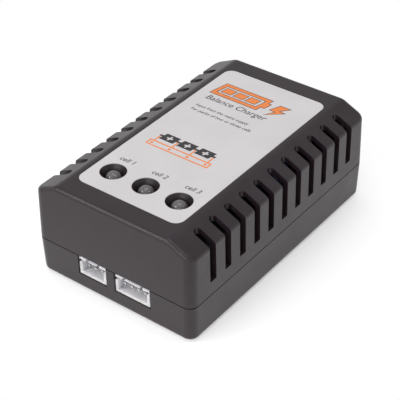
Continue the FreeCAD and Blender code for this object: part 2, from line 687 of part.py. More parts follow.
TRANSISTOR_SIZE = (2.7, 8.0, 11.0)
TRANSISTOR_HOLE_RADIUS = 1.6
TRANSISTOR_HOLE_UP = 7.5
TRANSISTOR_PITCH = 2.3
TRANSISTOR_BEVEL = 0.3
RESISTOR_Y = -28.7
RESISTOR_XS = (-17.5, -6.0, 6.0, 17.5)
RESISTOR_Z = BOARD_TOP + 1.35
RESISTOR_HALF_LENGTH = 2.6
RESISTOR_HALF_SPAN = 3.6
SIDES = (-1, 1)

DISCS = {
    "inrush_thermistor": {"at": (21.0, 27.5), "radius": 4.5, "thickness": 3.6},
    "safety_capacitor": {"at": (-21.5, 8.0), "radius": 4.0, "thickness": 3.8},
}
DISC_FOOT = 2.5  # from the board up to the rim of a disc
DISC_HALF_SPAN = 2.5
DISC_LEAD_BITE = 0.4  # how far a lead runs into the coating
DISC_EDGE = 0.7  # radius of a disc's rounded rim, as a share of half its thickness

PACKAGES = {
    "bridge_rectifier": {"at": (1.5, 20.5), "pins_per_row": 2, "turned": False},
    "supply_controller": {"at": (15.0, -1.8), "pins_per_row": 4, "turned": True},
    "feedback_coupler": {"at": (0.2, -11.0), "pins_per_row": 2, "turned": True},
    "cell_control_chip": {"at": (9.8, -15.5), "pins_per_row": 7, "turned": True},
}

LEG_PITCH = 2.54
LEG_ROW_HALF = 3.81


def leg_spots(package):
    """Plan positions of a dual-in-line package's legs, as (along, across) from its centre."""
    count = package["pins_per_row"]
    alongs = [(i - (count - 1) / 2) * LEG_PITCH for i in range(count)]
    return [(along, side * LEG_ROW_HALF) for along in alongs for side in SIDES]


def on_board(package, along, across):
    """Plan position on the board of a point of the package."""
    x, y = package["at"]
    return (x - across, y + along) if package["turned"] else (x + along, y + across)


def placed(package, shape):
    """Shape moved from the origin to the package's place."""
    if package["turned"]:
        shape.rotate(V(0, 0, 0), V(0, 0, 1), 90)
    shape.translate(V(*package["at"], 0))
    return shape


PACKAGE_BODY_HALF = 3.2
PACKAGE_Z0 = BOARD_TOP + 0.5
PACKAGE_HEIGHT = 3.3
PACKAGE_BEVEL = 0.3
PACKAGE_TRIM = 0.3  # a body is this much shorter than its legs' pitch times their number
DIMPLE_RADIUS = 0.8
DIMPLE_DEPTH = 0.4
LEG_Z = PACKAGE_Z0 + 1.4  # underside of a leg's shoulder
LEG_THICKNESS = 0.3
SHOULDER_HALF_WIDTH = 0.6
BLADE_HALF_WIDTH = 0.25


def package_body(package):
    """Moulded body with a bevelled top and the dimple that marks its first leg."""
    half = (package["pins_per_row"] * LEG_PITCH - PACKAGE_TRIM) / 2
    top = PACKAGE_Z0 + PACKAGE_HEIGHT
    body = box(-half, half, -PACKAGE_BODY_HALF, PACKAGE_BODY_HALF, PACKAGE_Z0, top)
    body = body.makeChamfer(PACKAGE_BEVEL, [e for e in body.Edges if e.BoundBox.ZMin > top - TOUCH])
    return placed(package, body.cut(tube_z(DIMPLE_RADIUS, -half, 0, top - DIMPLE_DEPTH, top + 1)))


def package_legs(package):
    """Stamped legs: a wide shoulder out of the body and a narrow blade through the board."""
    legs = []
    top = LEG_Z + LEG_THICKNESS
    for along, across in leg_spots(package):
        side = math.copysign(1, across)
        outer = across + side * LEG_THICKNESS / 2
        sides = (along - SHOULDER_HALF_WIDTH, along + SHOULDER_HALF_WIDTH)
        shoulder = box(*sides, side * PACKAGE_BODY_HALF, outer, LEG_Z, top)
        sides = (along - BLADE_HALF_WIDTH, along + BLADE_HALF_WIDTH)
        blade = box(*sides, outer - side * LEG_THICKNESS, outer, LEAD_END_Z, top)
        legs.append(placed(package, joined([shoulder, blade])))
    return legs


def fuse_tube(radius):
    """Round bar along the free length of the fuse, between its caps."""
    x, y = FUSE_AT
    half = FUSE_LENGTH / 2 - FUSE_CAP_LENGTH
    return tube_y(radius, x, FUSE_Z, y - half, y + half)


def fuse_glass():
    """Glass tube of the fuse, lying along Y."""
    return fuse_tube(FUSE_GLASS_RADIUS).cut(fuse_tube(FUSE_BORE_RADIUS))


def fuse_wire():
    """Fusible wire inside the glass."""
    return fuse_tube(FUSE_WIRE_RADIUS)


def bent_lead(x, z, start, bend):
    """Round lead that runs along Y from start to bend and then down through the board."""
    run = tube_y(LEAD_RADIUS, x, z, start, bend)
    drop = tube_z(LEAD_RADIUS, x, bend, LEAD_END_Z, z)
    return joined([run, drop, Part.makeSphere(LEAD_RADIUS, V(x, bend, z))])


def fuse_caps():
    """Metal end caps of the fuse with their bent leads."""
    x, y = FUSE_AT
    caps = []
    for side in SIDES:
        end = y + side * FUSE_LENGTH / 2
        cap = tube_y(FUSE_RADIUS, x, FUSE_Z, end - side * FUSE_CAP_LENGTH, end)
        caps.append(joined([cap, bent_lead(x, FUSE_Z, end, end + side * FUSE_BEND)]))
    return group(caps)


def filter_capacitor():
    """Boxed film capacitor across the mains."""
    x, y = FILTER_CAPACITOR_AT
    sx, sy, sz = FILTER_CAPACITOR_SIZE
    z0 = BOARD_TOP + BOX_STANDOFF
    body = box(x - sx / 2, x + sx / 2, y - sy / 2, y + sy / 2, z0, z0 + sz)
    return fillet_where(body, 0.5, lambda e: e.BoundBox.ZMax > z0 + 1)


def disc_lead_top(disc):
    """Height at which the leads of a disc end, just inside its rim."""
    rim = math.sqrt(disc["radius"] ** 2 - DISC_HALF_SPAN ** 2)
    return BOARD_TOP + DISC_FOOT + disc["radius"] - rim + DISC_LEAD_BITE


def disc_part(disc):
    """Dipped disc standing on its leads, its flat faces along X."""
    x, y = disc["at"]
    radius, half = disc["radius"], disc["thickness"] / 2
    body = tube_x(radius, y, BOARD_TOP + DISC_FOOT + radius, x - half, x + half)
    body = fillet_where(body, DISC_EDGE * half, lambda e: e.BoundBox.ZLength > radius)
    for side in SIDES:
        lead_y = y + side * DISC_HALF_SPAN
        body = body.cut(tube_z(LEAD_RADIUS + FIT_GAP, x, lead_y, BOARD_TOP, disc_lead_top(disc) + FIT_GAP))
    return body


def choke_core():
    """Drum-shaped ferrite core."""
    z0 = BOARD_TOP + BOX_STANDOFF
    z1 = z0 + CHOKE_HEIGHT
    rim, waist = CHOKE_FLANGE_RADIUS, CHOKE_WAIST_RADIUS
    outline = [(0, z0), (rim, z0), (rim, z0 + CHOKE_FLANGE), (waist, z0 + CHOKE_FLANGE)]
    outline += [(waist, z1 - CHOKE_FLANGE), (rim, z1 - CHOKE_FLANGE), (rim, z1), (0, z1)]
    return revolved(outline, *CHOKE_AT)


def choke_winding():
    """Copper winding in the waist of the drum core, ridged by its turns."""
    z0 = BOARD_TOP + BOX_STANDOFF + CHOKE_FLANGE + WINDING_GAP
    inner, valley, ridge = CHOKE_WAIST_RADIUS + WINDING_GAP, CHOKE_VALLEY_RADIUS, CHOKE_RIDGE_RADIUS
    outline = [(inner, z0)]
    for i in range(CHOKE_TURNS):
        outline += [(valley, z0 + CHOKE_WIRE * i), (ridge, z0 + CHOKE_WIRE * (i + 0.5))]
    top = z0 + CHOKE_WIRE * CHOKE_TURNS
    return revolved(outline + [(valley, top), (inner, top)], *CHOKE_AT)


SLEEVE_THICKNESS = 0.2
SLEEVE_OVERLAP = 1.3  # how far the sleeve folds over the top of the can
CRIMP_Z = 2.1  # height of the crimp groove above the foot of the can
CRIMP_DEPTH = 0.5
SCORE_DEPTH = 0.15
SCORE_REACH = 0.55  # of the can's radius
SLEEVE_HEM = 0.1  # the sleeve ends this far above the foot of the can


def crimp(radius, z0):
    """Outline of the crimp groove, from below."""
    middle = z0 + CRIMP_Z
    return [(radius, middle - CRIMP_DEPTH), (radius - CRIMP_DEPTH, middle), (radius, middle + CRIMP_DEPTH)]


def electrolytic_can(x, y, radius, height):
    """Can with a crimp groove near its foot and a scored vent on top."""
    z0 = BOARD_TOP + CAN_STANDOFF
    r, top = radius - SLEEVE_THICKNESS, z0 + height
    shoulder = 3 * SLEEVE_THICKNESS
    outline = [(0, z0), (r, z0)] + crimp(r, z0) + [(r, top - shoulder), (r - shoulder, top), (0, top)]
    can = revolved(outline, x, y)
    arm, half, low = radius * SCORE_REACH, SCORE_DEPTH, top - SCORE_DEPTH
    score = box(x - arm, x + arm, y - half, y + half, low, top + 1)
    return can.cut(score.fuse(box(x - half, x + half, y - arm, y + arm, low, top + 1)))


def electrolytic_sleeve(x, y, radius, height):
    """Sleeve shrunk over a can and its crimp groove, open at the top."""
    z0 = BOARD_TOP + CAN_STANDOFF
    top, inner = z0 + height + FIT_GAP, radius - SLEEVE_THICKNESS + FIT_GAP
    shoulder = 3 * SLEEVE_THICKNESS
    lip, over = radius - SLEEVE_THICKNESS - SLEEVE_OVERLAP, top + SLEEVE_THICKNESS / 2
    outline = [(inner, z0 + SLEEVE_HEM), (radius, z0 + SLEEVE_HEM)] + crimp(radius, z0)
    outline += [(radius, over - shoulder), (radius - shoulder, over), (lip, over), (lip, top)]
    outline += [(inner - shoulder, top), (inner, top - shoulder)] + crimp(inner, z0)[::-1]
    return revolved(outline, x, y)


TRANSFORMER_CORE = (22.0, 5.8, 17.5)  # x, y, z
TRANSFORMER_LIMB = 3.4
TRANSFORMER_POST = 5.6
TRANSFORMER_STANDOFF = 3.0  # from the board up to the core
TRANSFORMER_Z0 = BOARD_TOP + TRANSFORMER_STANDOFF
CORE_PLAY = 0.1  # between the core and the bore of its former
FLANGE_PLAY = 0.2  # between the former's flanges and the outer limbs
FORMER_FLANGE = 1.0
FORMER_WALL = 0.7
FORMER_REACH_Y = 8.2
FORMER_Z0 = TRANSFORMER_Z0 + TRANSFORMER_LIMB + FREE_GAP
FORMER_Z1 = TRANSFORMER_Z0 + TRANSFORMER_CORE[2] - TRANSFORMER_LIMB - FREE_GAP
PIN_BLOCK_HALF_LENGTH = 8.5
PIN_BLOCK_GAP = 0.3  # between a pin block and the core
PIN_BLOCK_REACH = 0.8  # past the flanges
TRANSFORMER_PIN_XS = (-6, -2, 2, 6)
TRANSFORMER_PIN_Y = 7.5
TRANSFORMER_PIN_RADIUS = 0.35
WINDING_INSET = 0.2  # of the winding from the flanges' sides
WINDING_INSET_Y = 0.8  # and from their ends
WINDING_CORNER = 1.6
TAPE_THICKNESS = 0.15
TAPE_INSET = 0.6  # from each edge of the core


def transformer_box(half_x, half_y, z0, z1):
    """Box centred on the transformer in plan."""
    x, y = TRANSFORMER_AT
    return box(x - half_x, x + half_x, y - half_y, y + half_y, z0, z1)


def transformer_core():
    """Two ferrite E halves, closed round the coil, with the joint at mid height."""
    x, y = TRANSFORMER_AT
    sx, sy, sz = TRANSFORMER_CORE
    z0, z1 = TRANSFORMER_Z0, TRANSFORMER_Z0 + sz
    block = transformer_box(sx / 2, sy / 2, z0, z1)
    for side in SIDES:
        ends = (x + side * TRANSFORMER_POST / 2, x + side * (sx / 2 - TRANSFORMER_LIMB))
        block = block.cut(box(*ends, y - sy, y + sy, z0 + TRANSFORMER_LIMB, z1 - TRANSFORMER_LIMB))
    middle = (z0 + z1) / 2
    lower = block.common(transformer_box(sx, sy, z0 - 1, middle - FREE_GAP / 2))
    upper = block.common(transformer_box(sx, sy, middle + FREE_GAP / 2, z1 + 1))
    return group([lower, upper])


def coil_former():
    """Coil former: pin blocks below, two flanges and a square tube round the centre post."""
    x, y = TRANSFORMER_AT
    sx, sy, _ = TRANSFORMER_CORE
    bore_x, bore_y = TRANSFORMER_POST / 2 + CORE_PLAY, sy / 2 + CORE_PLAY
    reach_x = sx / 2 - TRANSFORMER_LIMB - FLANGE_PLAY
    parts = [transformer_box(bore_x + FORMER_WALL, bore_y + FORMER_WALL, FORMER_Z0, FORMER_Z1)]
    for z in (FORMER_Z0, FORMER_Z1 - FORMER_FLANGE):
        parts.append(transformer_box(reach_x, FORMER_REACH_Y, z, z + FORMER_FLANGE))
    half, foot, top = PIN_BLOCK_HALF_LENGTH, BOARD_TOP + CAN_STANDOFF, FORMER_Z0 + FORMER_FLANGE
    for side in SIDES:
        ends = (y + side * (sy / 2 + PIN_BLOCK_GAP), y + side * (FORMER_REACH_Y + PIN_BLOCK_REACH))
        parts.append(box(x - half, x + half, *ends, foot, top))
    cutters = [transformer_box(bore_x, bore_y, FORMER_Z0 - 1, FORMER_Z1 + 1)]
    for px, py in transformer_pin_spots():
        bore = TRANSFORMER_PIN_RADIUS + FIT_GAP
        cutters.append(tube_z(bore, px, py, BOARD_TOP - 1, TRANSFORMER_Z0 + FREE_GAP))
    return cut_all(joined(parts), cutters)


def transformer_pin_spots():
    """Plan positions of the transformer's eight pins."""
    x, y = TRANSFORMER_AT
    return [(x + dx, y + side * TRANSFORMER_PIN_Y) for dx in TRANSFORMER_PIN_XS for side in SIDES]


def transformer_pins():
    """Round pins pressed up into the coil former."""
    heights = (LEAD_END_Z, TRANSFORMER_Z0)
    return group([tube_z(TRANSFORMER_PIN_RADIUS, px, py, *heights) for px, py in transformer_pin_spots()])


def transformer_winding():
    """Taped winding stack between the flanges."""
    sx, sy, _ = TRANSFORMER_CORE
    z0 = FORMER_Z0 + FORMER_FLANGE + WINDING_GAP
    z1 = FORMER_Z1 - FORMER_FLANGE - WINDING_GAP
    inner_x = TRANSFORMER_POST / 2 + CORE_PLAY + FORMER_WALL + WINDING_GAP
    inner_y = sy / 2 + CORE_PLAY + FORMER_WALL + WINDING_GAP
    outer_x = sx / 2 - TRANSFORMER_LIMB - FLANGE_PLAY - WINDING_INSET
    stack = transformer_box(outer_x, FORMER_REACH_Y - WINDING_INSET_Y, z0, z1)
    stack = fillet_where(stack, WINDING_CORNER, lambda e: e.BoundBox.ZLength > 1)
    return stack.cut(transformer_box(inner_x, inner_y, z0 - 1, z1 + 1))


def core_tape():
    """Tape round the outside of the transformer core."""
    sx, sy, sz = TRANSFORMER_CORE

    def sleeve(margin, half_width):
        return transformer_box(
            sx / 2 + margin, half_width, TRANSFORMER_Z0 - margin, TRANSFORMER_Z0 + sz + margin
        )

    return sleeve(TAPE_THICKNESS, sy / 2 - TAPE_INSET).cut(sleeve(FIT_GAP, sy))


def output_diodes():
    """One axial rectifier per cell, lying along Y."""
    ends = (DIODE_Y - DIODE_HALF_LENGTH, DIODE_Y + DIODE_HALF_LENGTH)
    bodies = []
    for x in DIODE_XS:
        body = tube_y(DIODE_RADIUS, x, DIODE_Z, *ends)
        bodies.append(fillet_where(body, DIODE_EDGE, lambda e: e.BoundBox.YLength < TOUCH))
    return group(bodies)


def resistor_bodies():
    """Axial resistors along Y between the lamps, waisted between their end bulges."""
    bulge = [(0, -2.6), (0.6, -2.6), (1.15, -2.2), (1.15, -1.5), (0.9, -1.1)]  # (radius, along)
    other_end = [(radius, -along) for radius, along in bulge[::-1]]
    bodies = []
    for x in RESISTOR_XS:
        body = revolved(bulge + other_end)
        body.rotate(V(0, 0, 0), V(1, 0, 0), 90)
        body.translate(V(x, RESISTOR_Y, RESISTOR_Z))
        bodies.append(body)
    return group(bodies)


def transistor_bodies():
    """One pass transistor per cell, standing, with a mounting hole."""
    half_x, half_y, height = TRANSISTOR_SIZE[0] / 2, TRANSISTOR_SIZE[1] / 2, TRANSISTOR_SIZE[2]
    ends = (TRANSISTOR_X - half_x, TRANSISTOR_X + half_x)
    hole_z = TRANSISTOR_Z + TRANSISTOR_HOLE_UP
    bodies = []
    for y in TRANSISTOR_YS:
        body = box(*ends, y - half_y, y + half_y, TRANSISTOR_Z, TRANSISTOR_Z + height)
        rims = [e for e in body.Edges if e.BoundBox.XMin > ends[1] - TOUCH]
        body = body.makeChamfer(TRANSISTOR_BEVEL, rims)
        bodies.append(body.cut(tube_x(TRANSISTOR_HOLE_RADIUS, y, hole_z, ends[0] - 1, ends[1] + 1)))
    return group(bodies)


def lead_pair(at, half_span, top, along_x=False):
    """(x, y, top z) of a pair of upright leads, spaced along Y or along X."""
    x, y = at
    if along_x:
        return [(x + side * half_span, y, top) for side in SIDES]
    return [(x, y + side * half_span, top) for side in SIDES]


def straight_leads():
    """(x, y, top z) of every plain upright lead."""
    on_board_z, can_z = BOARD_TOP + BOX_STANDOFF, BOARD_TOP + CAN_STANDOFF
    leads = lead_pair(FILTER_CAPACITOR_AT, FILTER_CAPACITOR_HALF_SPAN, on_board_z)
    leads += lead_pair(CHOKE_AT, CHOKE_HALF_SPAN, on_board_z, along_x=True)
    leads += lead_pair(BULK_AT, BULK_HALF_SPAN, can_z, along_x=True)
    for x in CELL_CAPACITOR_XS:
        leads += lead_pair((x, CELL_CAPACITOR_Y), CELL_CAPACITOR_HALF_SPAN, can_z, along_x=True)
    for disc in DISCS.values():
        leads += lead_pair(disc["at"], DISC_HALF_SPAN, disc_lead_top(disc))
    for y in TRANSISTOR_YS:
        leads.append((TRANSISTOR_X, y, TRANSISTOR_Z))
        leads += lead_pair((TRANSISTOR_X, y), TRANSISTOR_PITCH, TRANSISTOR_Z)
    return leads


def component_leads():
    """All plain leads: upright ones, and the bent ones of the axial parts."""
    wires = [tube_z(LEAD_RADIUS, x, y, LEAD_END_Z, top) for x, y, top in straight_leads()]
    diodes = (DIODE_XS, DIODE_Y, DIODE_Z, DIODE_HALF_LENGTH, DIODE_HALF_SPAN)
    resistors = (RESISTOR_XS, RESISTOR_Y, RESISTOR_Z, RESISTOR_HALF_LENGTH, RESISTOR_HALF_SPAN)
    for xs, y, z, half_length, half_span in (diodes, resistors):
        for x in xs:
            wires += [bent_lead(x, z, y + side * half_length, y + side * half_span) for side in SIDES]
    return group(wires)


def lead_spots():
    """Every place where a wire, pin or leg passes through the board."""
    spots = [(x, y) for x, y, _ in straight_leads()]
    for side in SIDES:
        spots += [(x, DIODE_Y + side * DIODE_HALF_SPAN) for x in DIODE_XS]
        spots += [(x, RESISTOR_Y + side * RESISTOR_HALF_SPAN) for x in RESISTOR_XS]
        spots.append((FUSE_AT[0], FUSE_AT[1] + side * (FUSE_LENGTH / 2 + FUSE_BEND)))
    spots += [(lead_x, y) for x, y in lamp_positions() for lead_x in lamp_lead_xs(x)]
    spots += transformer_pin_spots()
    for package in PACKAGES.values():
        spots += [on_board(package, *spot) for spot in leg_spots(package)]
    for pins, x0, _ in header_spans():
        spots += [(px, HEADER_TAIL_Y) for px in header_pin_xs(pins, x0)]
    return spots


def circuit_board():
    """Board with corner notches round the screw bosses, peg holes and lead holes."""
    a, b = BOARD_WIDTH / 2, BOARD_LENGTH / 2
    board = box(-a, a, -b, b, BOARD_BOTTOM, BOARD_TOP)
    holes = []
    through = (BOARD_BOTTOM - 1, BOARD_TOP + 1)
    for sx, sy in FOUR_CORNERS:
        notch_x = (sx * BOARD_NOTCH_X, sx * (a + 1))
        notch_y = (sy * BOARD_NOTCH_Y, sy * (b + 1))
        holes.append(box(*notch_x, *notch_y, *through))
        holes.append(tube_z(PEG_RADIUS + BOARD_HOLE_CLEARANCE, sx * PEG_X, sy * PEG_Y, *through))
    for x, y in lead_spots():
        holes.append(tube_z(DRILL_RADIUS, x, y, *through))
    half_x = INLET_TAIL_HALF_WIDTH + BOARD_HOLE_CLEARANCE
    half_y = INLET_TAIL_HALF_THICKNESS + BOARD_HOLE_CLEARANCE
    for x in INLET_PIN_XS:
        slot_y = (INLET_TAIL_Y - half_y, INLET_TAIL_Y + half_y)
        holes.append(box(x - half_x, x + half_x, *slot_y, *through))
    return cut_all(board, holes)


def solder_joints():
    """A cone of solder under the board round every lead."""
    cones = []
    z0 = BOARD_BOTTOM - SOLDER_HEIGHT
    for x, y in lead_spots():
        cone = Part.makeCone(SOLDER_NECK_RADIUS, SOLDER_FOOT_RADIUS, SOLDER_HEIGHT, V(x, y, z0))
        cones.append(cone.cut(tube_z(DRILL_RADIUS, x, y, z0 - 1, BOARD_BOTTOM + 1)))
    return group(cones)


# ---------------------------------------------------------------- nodes
def build_nodes():
    """Every node's shape by name."""
    nodes = {
        "upper_shell": upper_shell(),
        "lower_shell": lower_shell(),
        "top_label": top_label(),
        "case_screws": case_screws(),
        "mains_inlet_housing": inlet_housing(),
        "mains_inlet_pins": inlet_pins(),
        "lamp_leads": lamp_leads(),
        "lamp_spacers": lamp_spacers(),
        "fuse_glass": fuse_glass(),
        "fuse_caps": fuse_caps(),
        "fuse_wire": fuse_wire(),
        "mains_filter_capacitor": filter_capacitor(),
        "filter_choke_core": choke_core(),
        "filter_choke_winding": choke_winding(),
        "bulk_capacitor_can": electrolytic_can(*BULK_AT, BULK_RADIUS, BULK_HEIGHT),
        "bulk_capacitor_sleeve": electrolytic_sleeve(*BULK_AT, BULK_RADIUS, BULK_HEIGHT),
        "transformer_core": transformer_core(),
        "transformer_coil_former": coil_former(),
        "transformer_winding": transformer_winding(),
        "transformer_core_tape": core_tape(),
        "transformer_pins": transformer_pins(),
        "output_diodes": output_diodes(),
        "resistors": resistor_bodies(),
        "cell_transistors": transistor_bodies(),
        "component_leads": component_leads(),
        "circuit_board": circuit_board(),
        "solder_joints": solder_joints(),
    }
    for name, disc in DISCS.items():
        nodes[name] = disc_part(disc)
    for i, (x, y) in enumerate(lamp_positions(), start=1):
        nodes[f"lamp_cell_{i}"] = lamp_lens(x, y)
    for pins, x0, x1 in header_spans():
        nodes[f"balance_socket_{pins - 1}s_housing"] = header_housing(pins, x0, x1)
        nodes[f"balance_socket_{pins - 1}s_contacts"] = header_contacts(pins, x0)
    cans, sleeves = [], []
    for x in CELL_CAPACITOR_XS:
        size = (x, CELL_CAPACITOR_Y, CELL_CAPACITOR_RADIUS, CELL_CAPACITOR_HEIGHT)
        cans.append(electrolytic_can(*size))
        sleeves.append(electrolytic_sleeve(*size))
    nodes["cell_capacitor_cans"] = group(cans)
    nodes["cell_capacitor_sleeves"] = group(sleeves)
    legs = []
    for name, package in PACKAGES.items():
        nodes[name] = package_body(package)
        legs += package_legs(package)
    nodes["package_legs"] = group(legs)
    return nodes


def main():
    """Writes one STEP file per node."""
    os.makedirs("parts", exist_ok=True)
    for name, shape in build_nodes().items():
        for solid in shape.Solids:
            if not solid.isValid():
                print("not valid:", name)
        if not shape.Solids:
            print("no solid:", name)
        shape.exportStep(f"parts/{name}.step")


main()
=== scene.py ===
"""Looks of a compact mains balance charger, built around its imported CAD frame.

Metres, in the CAD frame: +Z up, +Y towards the mains inlet, +X to the right when facing the balance
sockets. Sizes that are written in millimetres are multiplied by MM.
"""

import math

import bmesh
import bpy
from mathutils import Color, Matrix, Vector


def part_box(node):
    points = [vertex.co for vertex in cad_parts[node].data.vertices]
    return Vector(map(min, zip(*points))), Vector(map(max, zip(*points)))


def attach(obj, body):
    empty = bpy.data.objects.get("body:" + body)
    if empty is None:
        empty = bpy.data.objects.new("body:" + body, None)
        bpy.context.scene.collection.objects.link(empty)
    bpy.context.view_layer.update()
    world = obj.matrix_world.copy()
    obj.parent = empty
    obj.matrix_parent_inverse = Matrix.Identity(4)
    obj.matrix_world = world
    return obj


MM = 0.001
BODY = "root"  # the charger is one rigid body

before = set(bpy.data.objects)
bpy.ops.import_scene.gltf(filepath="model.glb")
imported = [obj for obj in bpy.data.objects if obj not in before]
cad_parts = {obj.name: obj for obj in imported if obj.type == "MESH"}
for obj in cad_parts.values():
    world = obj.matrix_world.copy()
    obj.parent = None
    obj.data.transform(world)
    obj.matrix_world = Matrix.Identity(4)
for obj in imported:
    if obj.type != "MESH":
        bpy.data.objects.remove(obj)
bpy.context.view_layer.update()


# ---------------------------------------------------------------- material building
def tone(red, green, blue):
    """Linear RGBA from display values of 0 to 255."""
    display = Color((red / 255, green / 255, blue / 255))
    return (*display.from_srgb_to_scene_linear(), 1.0)


NOISE_LOW, NOISE_HIGH = 0.3, 0.7  # nearly all of a noise pattern lies between these
COLOUR_A, COLOUR_B, COLOUR_RESULT = 6, 7, 2  # the colour sockets of a mix node, which share their names
PLASTIC_IOR = 1.5  # refraction of glass and of every plastic here


class Recipe:
    """One procedural material. Patterns are sized in millimetres, in the object's own coordinates."""

    def __init__(self, name, roughness=0.5, metallic=0.0):
        self.material = bpy.data.materials.get(name) or bpy.data.materials.new(name)
        self.material.use_nodes = True
        self.nodes = self.material.node_tree.nodes
        self.links = self.material.node_tree.links
        self.nodes.clear()
        self.shader = self.nodes.new("ShaderNodeBsdfPrincipled")
        output = self.nodes.new("ShaderNodeOutputMaterial")
        self.links.new(self.shader.outputs["BSDF"], output.inputs["Surface"])
        self.coordinates = self.nodes.new("ShaderNodeTexCoord").outputs["Object"]
        self.normal = None
        self.set("Metallic", metallic)
        self.set("Roughness", roughness)
        self.set("IOR", PLASTIC_IOR)

    def put(self, socket, value):
        """Links value to the socket if it is a socket, and otherwise sets it."""
        if isinstance(value, bpy.types.NodeSocket):
            self.links.new(value, socket)
        else:
            socket.default_value = value

    def set(self, name, value):
        """Sets or links one input of the surface shader."""
        self.put(self.shader.inputs[name], value)

    def sized(self, size_mm, stretch=(1, 1, 1)):
        """Coordinates in which one unit is size_mm, longer along the axes that stretch names."""
        mapping = self.nodes.new("ShaderNodeMapping")
        self.links.new(self.coordinates, mapping.inputs["Vector"])
        mapping.inputs["Scale"].default_value = [1 / (size_mm * MM * s) for s in stretch]
        return mapping.outputs["Vector"]

    def noise(self, size_mm, detail=2.0, stretch=(1, 1, 1)):
        """Cloudy pattern of 0 to 1."""
        noise = self.nodes.new("ShaderNodeTexNoise")
        self.links.new(self.sized(size_mm, stretch), noise.inputs["Vector"])
        noise.inputs["Scale"].default_value = 1.0
        noise.inputs["Detail"].default_value = detail
        return noise.outputs["Fac"]

    def cells(self, size_mm):
        """Distance pattern of scattered cells: 0 at the middle of each."""
        voronoi = self.nodes.new("ShaderNodeTexVoronoi")
        self.links.new(self.sized(size_mm), voronoi.inputs["Vector"])
        voronoi.inputs["Scale"].default_value = 1.0
        return voronoi.outputs["Distance"]

    def axis(self, index):
        """One coordinate, in metres."""
        split = self.nodes.new("ShaderNodeSeparateXYZ")
        self.links.new(self.coordinates, split.inputs["Vector"])
        return split.outputs[index]

    def ramp(self, value, low, high, start=0.0, end=1.0):
        """Smooth step: start up to low, end from high."""
        node = self.nodes.new("ShaderNodeMapRange")
        node.interpolation_type = "SMOOTHSTEP"
        for name, number in (("Value", value), ("From Min", low), ("From Max", high)):
            self.put(node.inputs[name], number)
        node.inputs["To Min"].default_value = start
        node.inputs["To Max"].default_value = end
        return node.outputs["Result"]

    def spread(self, pattern, start=0.0, end=1.0):
        """Noise pattern stretched to run from start to end."""
        return self.ramp(pattern, NOISE_LOW, NOISE_HIGH, start, end)

    def math(self, operation, first, second=0.0):
        """One arithmetic step."""
        node = self.nodes.new("ShaderNodeMath")
        node.operation = operation
        self.put(node.inputs[0], first)
        self.put(node.inputs[1], second)
        return node.outputs["Value"]

    def mix(self, share, first, second):
        """Colour between first and second."""
        node = self.nodes.new("ShaderNodeMix")
        node.data_type = "RGBA"
        self.put(node.inputs["Factor"], share)
        self.put(node.inputs[COLOUR_A], first)
        self.put(node.inputs[COLOUR_B], second)
        return node.outputs[COLOUR_RESULT]

    def edges(self, radius_mm):
        """1 on sharp edges and 0 on flat surfaces, from how far a bevel would turn the surface."""
        flat, sharp = 0.02, 0.25
        bevel = self.nodes.new("ShaderNodeBevel")
        bevel.samples = 4
        bevel.inputs["Radius"].default_value = radius_mm * MM
        geometry = self.nodes.new("ShaderNodeNewGeometry")
        dot = self.nodes.new("ShaderNodeVectorMath")
        dot.operation = "DOT_PRODUCT"
        self.links.new(bevel.outputs["Normal"], dot.inputs[0])
        self.links.new(geometry.outputs["Normal"], dot.inputs[1])
        return self.ramp(self.math("SUBTRACT", 1.0, dot.outputs["Value"]), flat, sharp)

    def bump(self, height, depth_mm):
        """Adds relief: height of 0 to 1 stands for depth_mm."""
        node = self.nodes.new("ShaderNodeBump")
        node.inputs["Distance"].default_value = depth_mm * MM
        self.links.new(height, node.inputs["Height"])
        if self.normal is not None:
            self.links.new(self.normal, node.inputs["Normal"])
        self.normal = node.outputs["Normal"]
        self.set("Normal", self.normal)


def moulded(name, colour, pale, grain_mm=0.45, grain_depth_mm=0.012, roughness=(0.38, 0.5), worn=0.35):
    """Textured moulded plastic: fine grain, slow sheen and shade changes, and rubbed edges."""
    cloud_mm, wave_mm, patch_mm = 9.0, 4.0, 1.6
    wear_radius_mm, wave_depth_mm = 0.25, 0.01
    recipe = Recipe(name)
    clouds = recipe.noise(cloud_mm, 3.0)
    grain = recipe.noise(grain_mm, 3.0)
    specks = recipe.noise(grain_mm / 2, 1.0)
    shade = recipe.mix(recipe.spread(clouds, 0.0, 0.25), colour, pale)
    shade = recipe.mix(recipe.ramp(specks, 0.55, 0.75, 0.0, 0.3), shade, pale)
    patches = recipe.ramp(recipe.noise(patch_mm, 3.0), 0.35, 0.65)
    rubbed = recipe.math("MULTIPLY", recipe.edges(wear_radius_mm), patches)
    recipe.set("Base Color", recipe.mix(recipe.math("MULTIPLY", rubbed, worn), shade, pale))
    sheen = recipe.math("ADD", recipe.spread(clouds, *roughness), recipe.spread(grain, 0.0, 0.06))
    recipe.set("Roughness", recipe.math("SUBTRACT", sheen, recipe.math("MULTIPLY", rubbed, 0.08)))
    recipe.bump(recipe.noise(wave_mm, 1.0), wave_depth_mm)
    recipe.bump(grain, grain_depth_mm)
    return recipe


def metal(name, colour, dull, roughness=(0.2, 0.4), streaks=(1, 1, 6), size_mm=0.3):
    """Plated or bare metal: fine drawn streaks, dull patches and brighter edges."""
    patch_mm, wear_radius_mm, streak_depth_mm = 2.0, 0.1, 0.004
    recipe = Recipe(name, metallic=1.0)
    patches = recipe.noise(patch_mm, 3.0)
    lines = recipe.noise(size_mm, 2.0, streaks)
    shade = recipe.mix(recipe.ramp(patches, 0.35, 0.75, 0.0, 0.7), colour, dull)
    half_worn = recipe.math("MULTIPLY", recipe.edges(wear_radius_mm), 0.5)
    recipe.set("Base Color", recipe.mix(half_worn, shade, colour))
    recipe.set("Roughness", recipe.spread(patches, *roughness))
    recipe.bump(lines, streak_depth_mm)
    return recipe


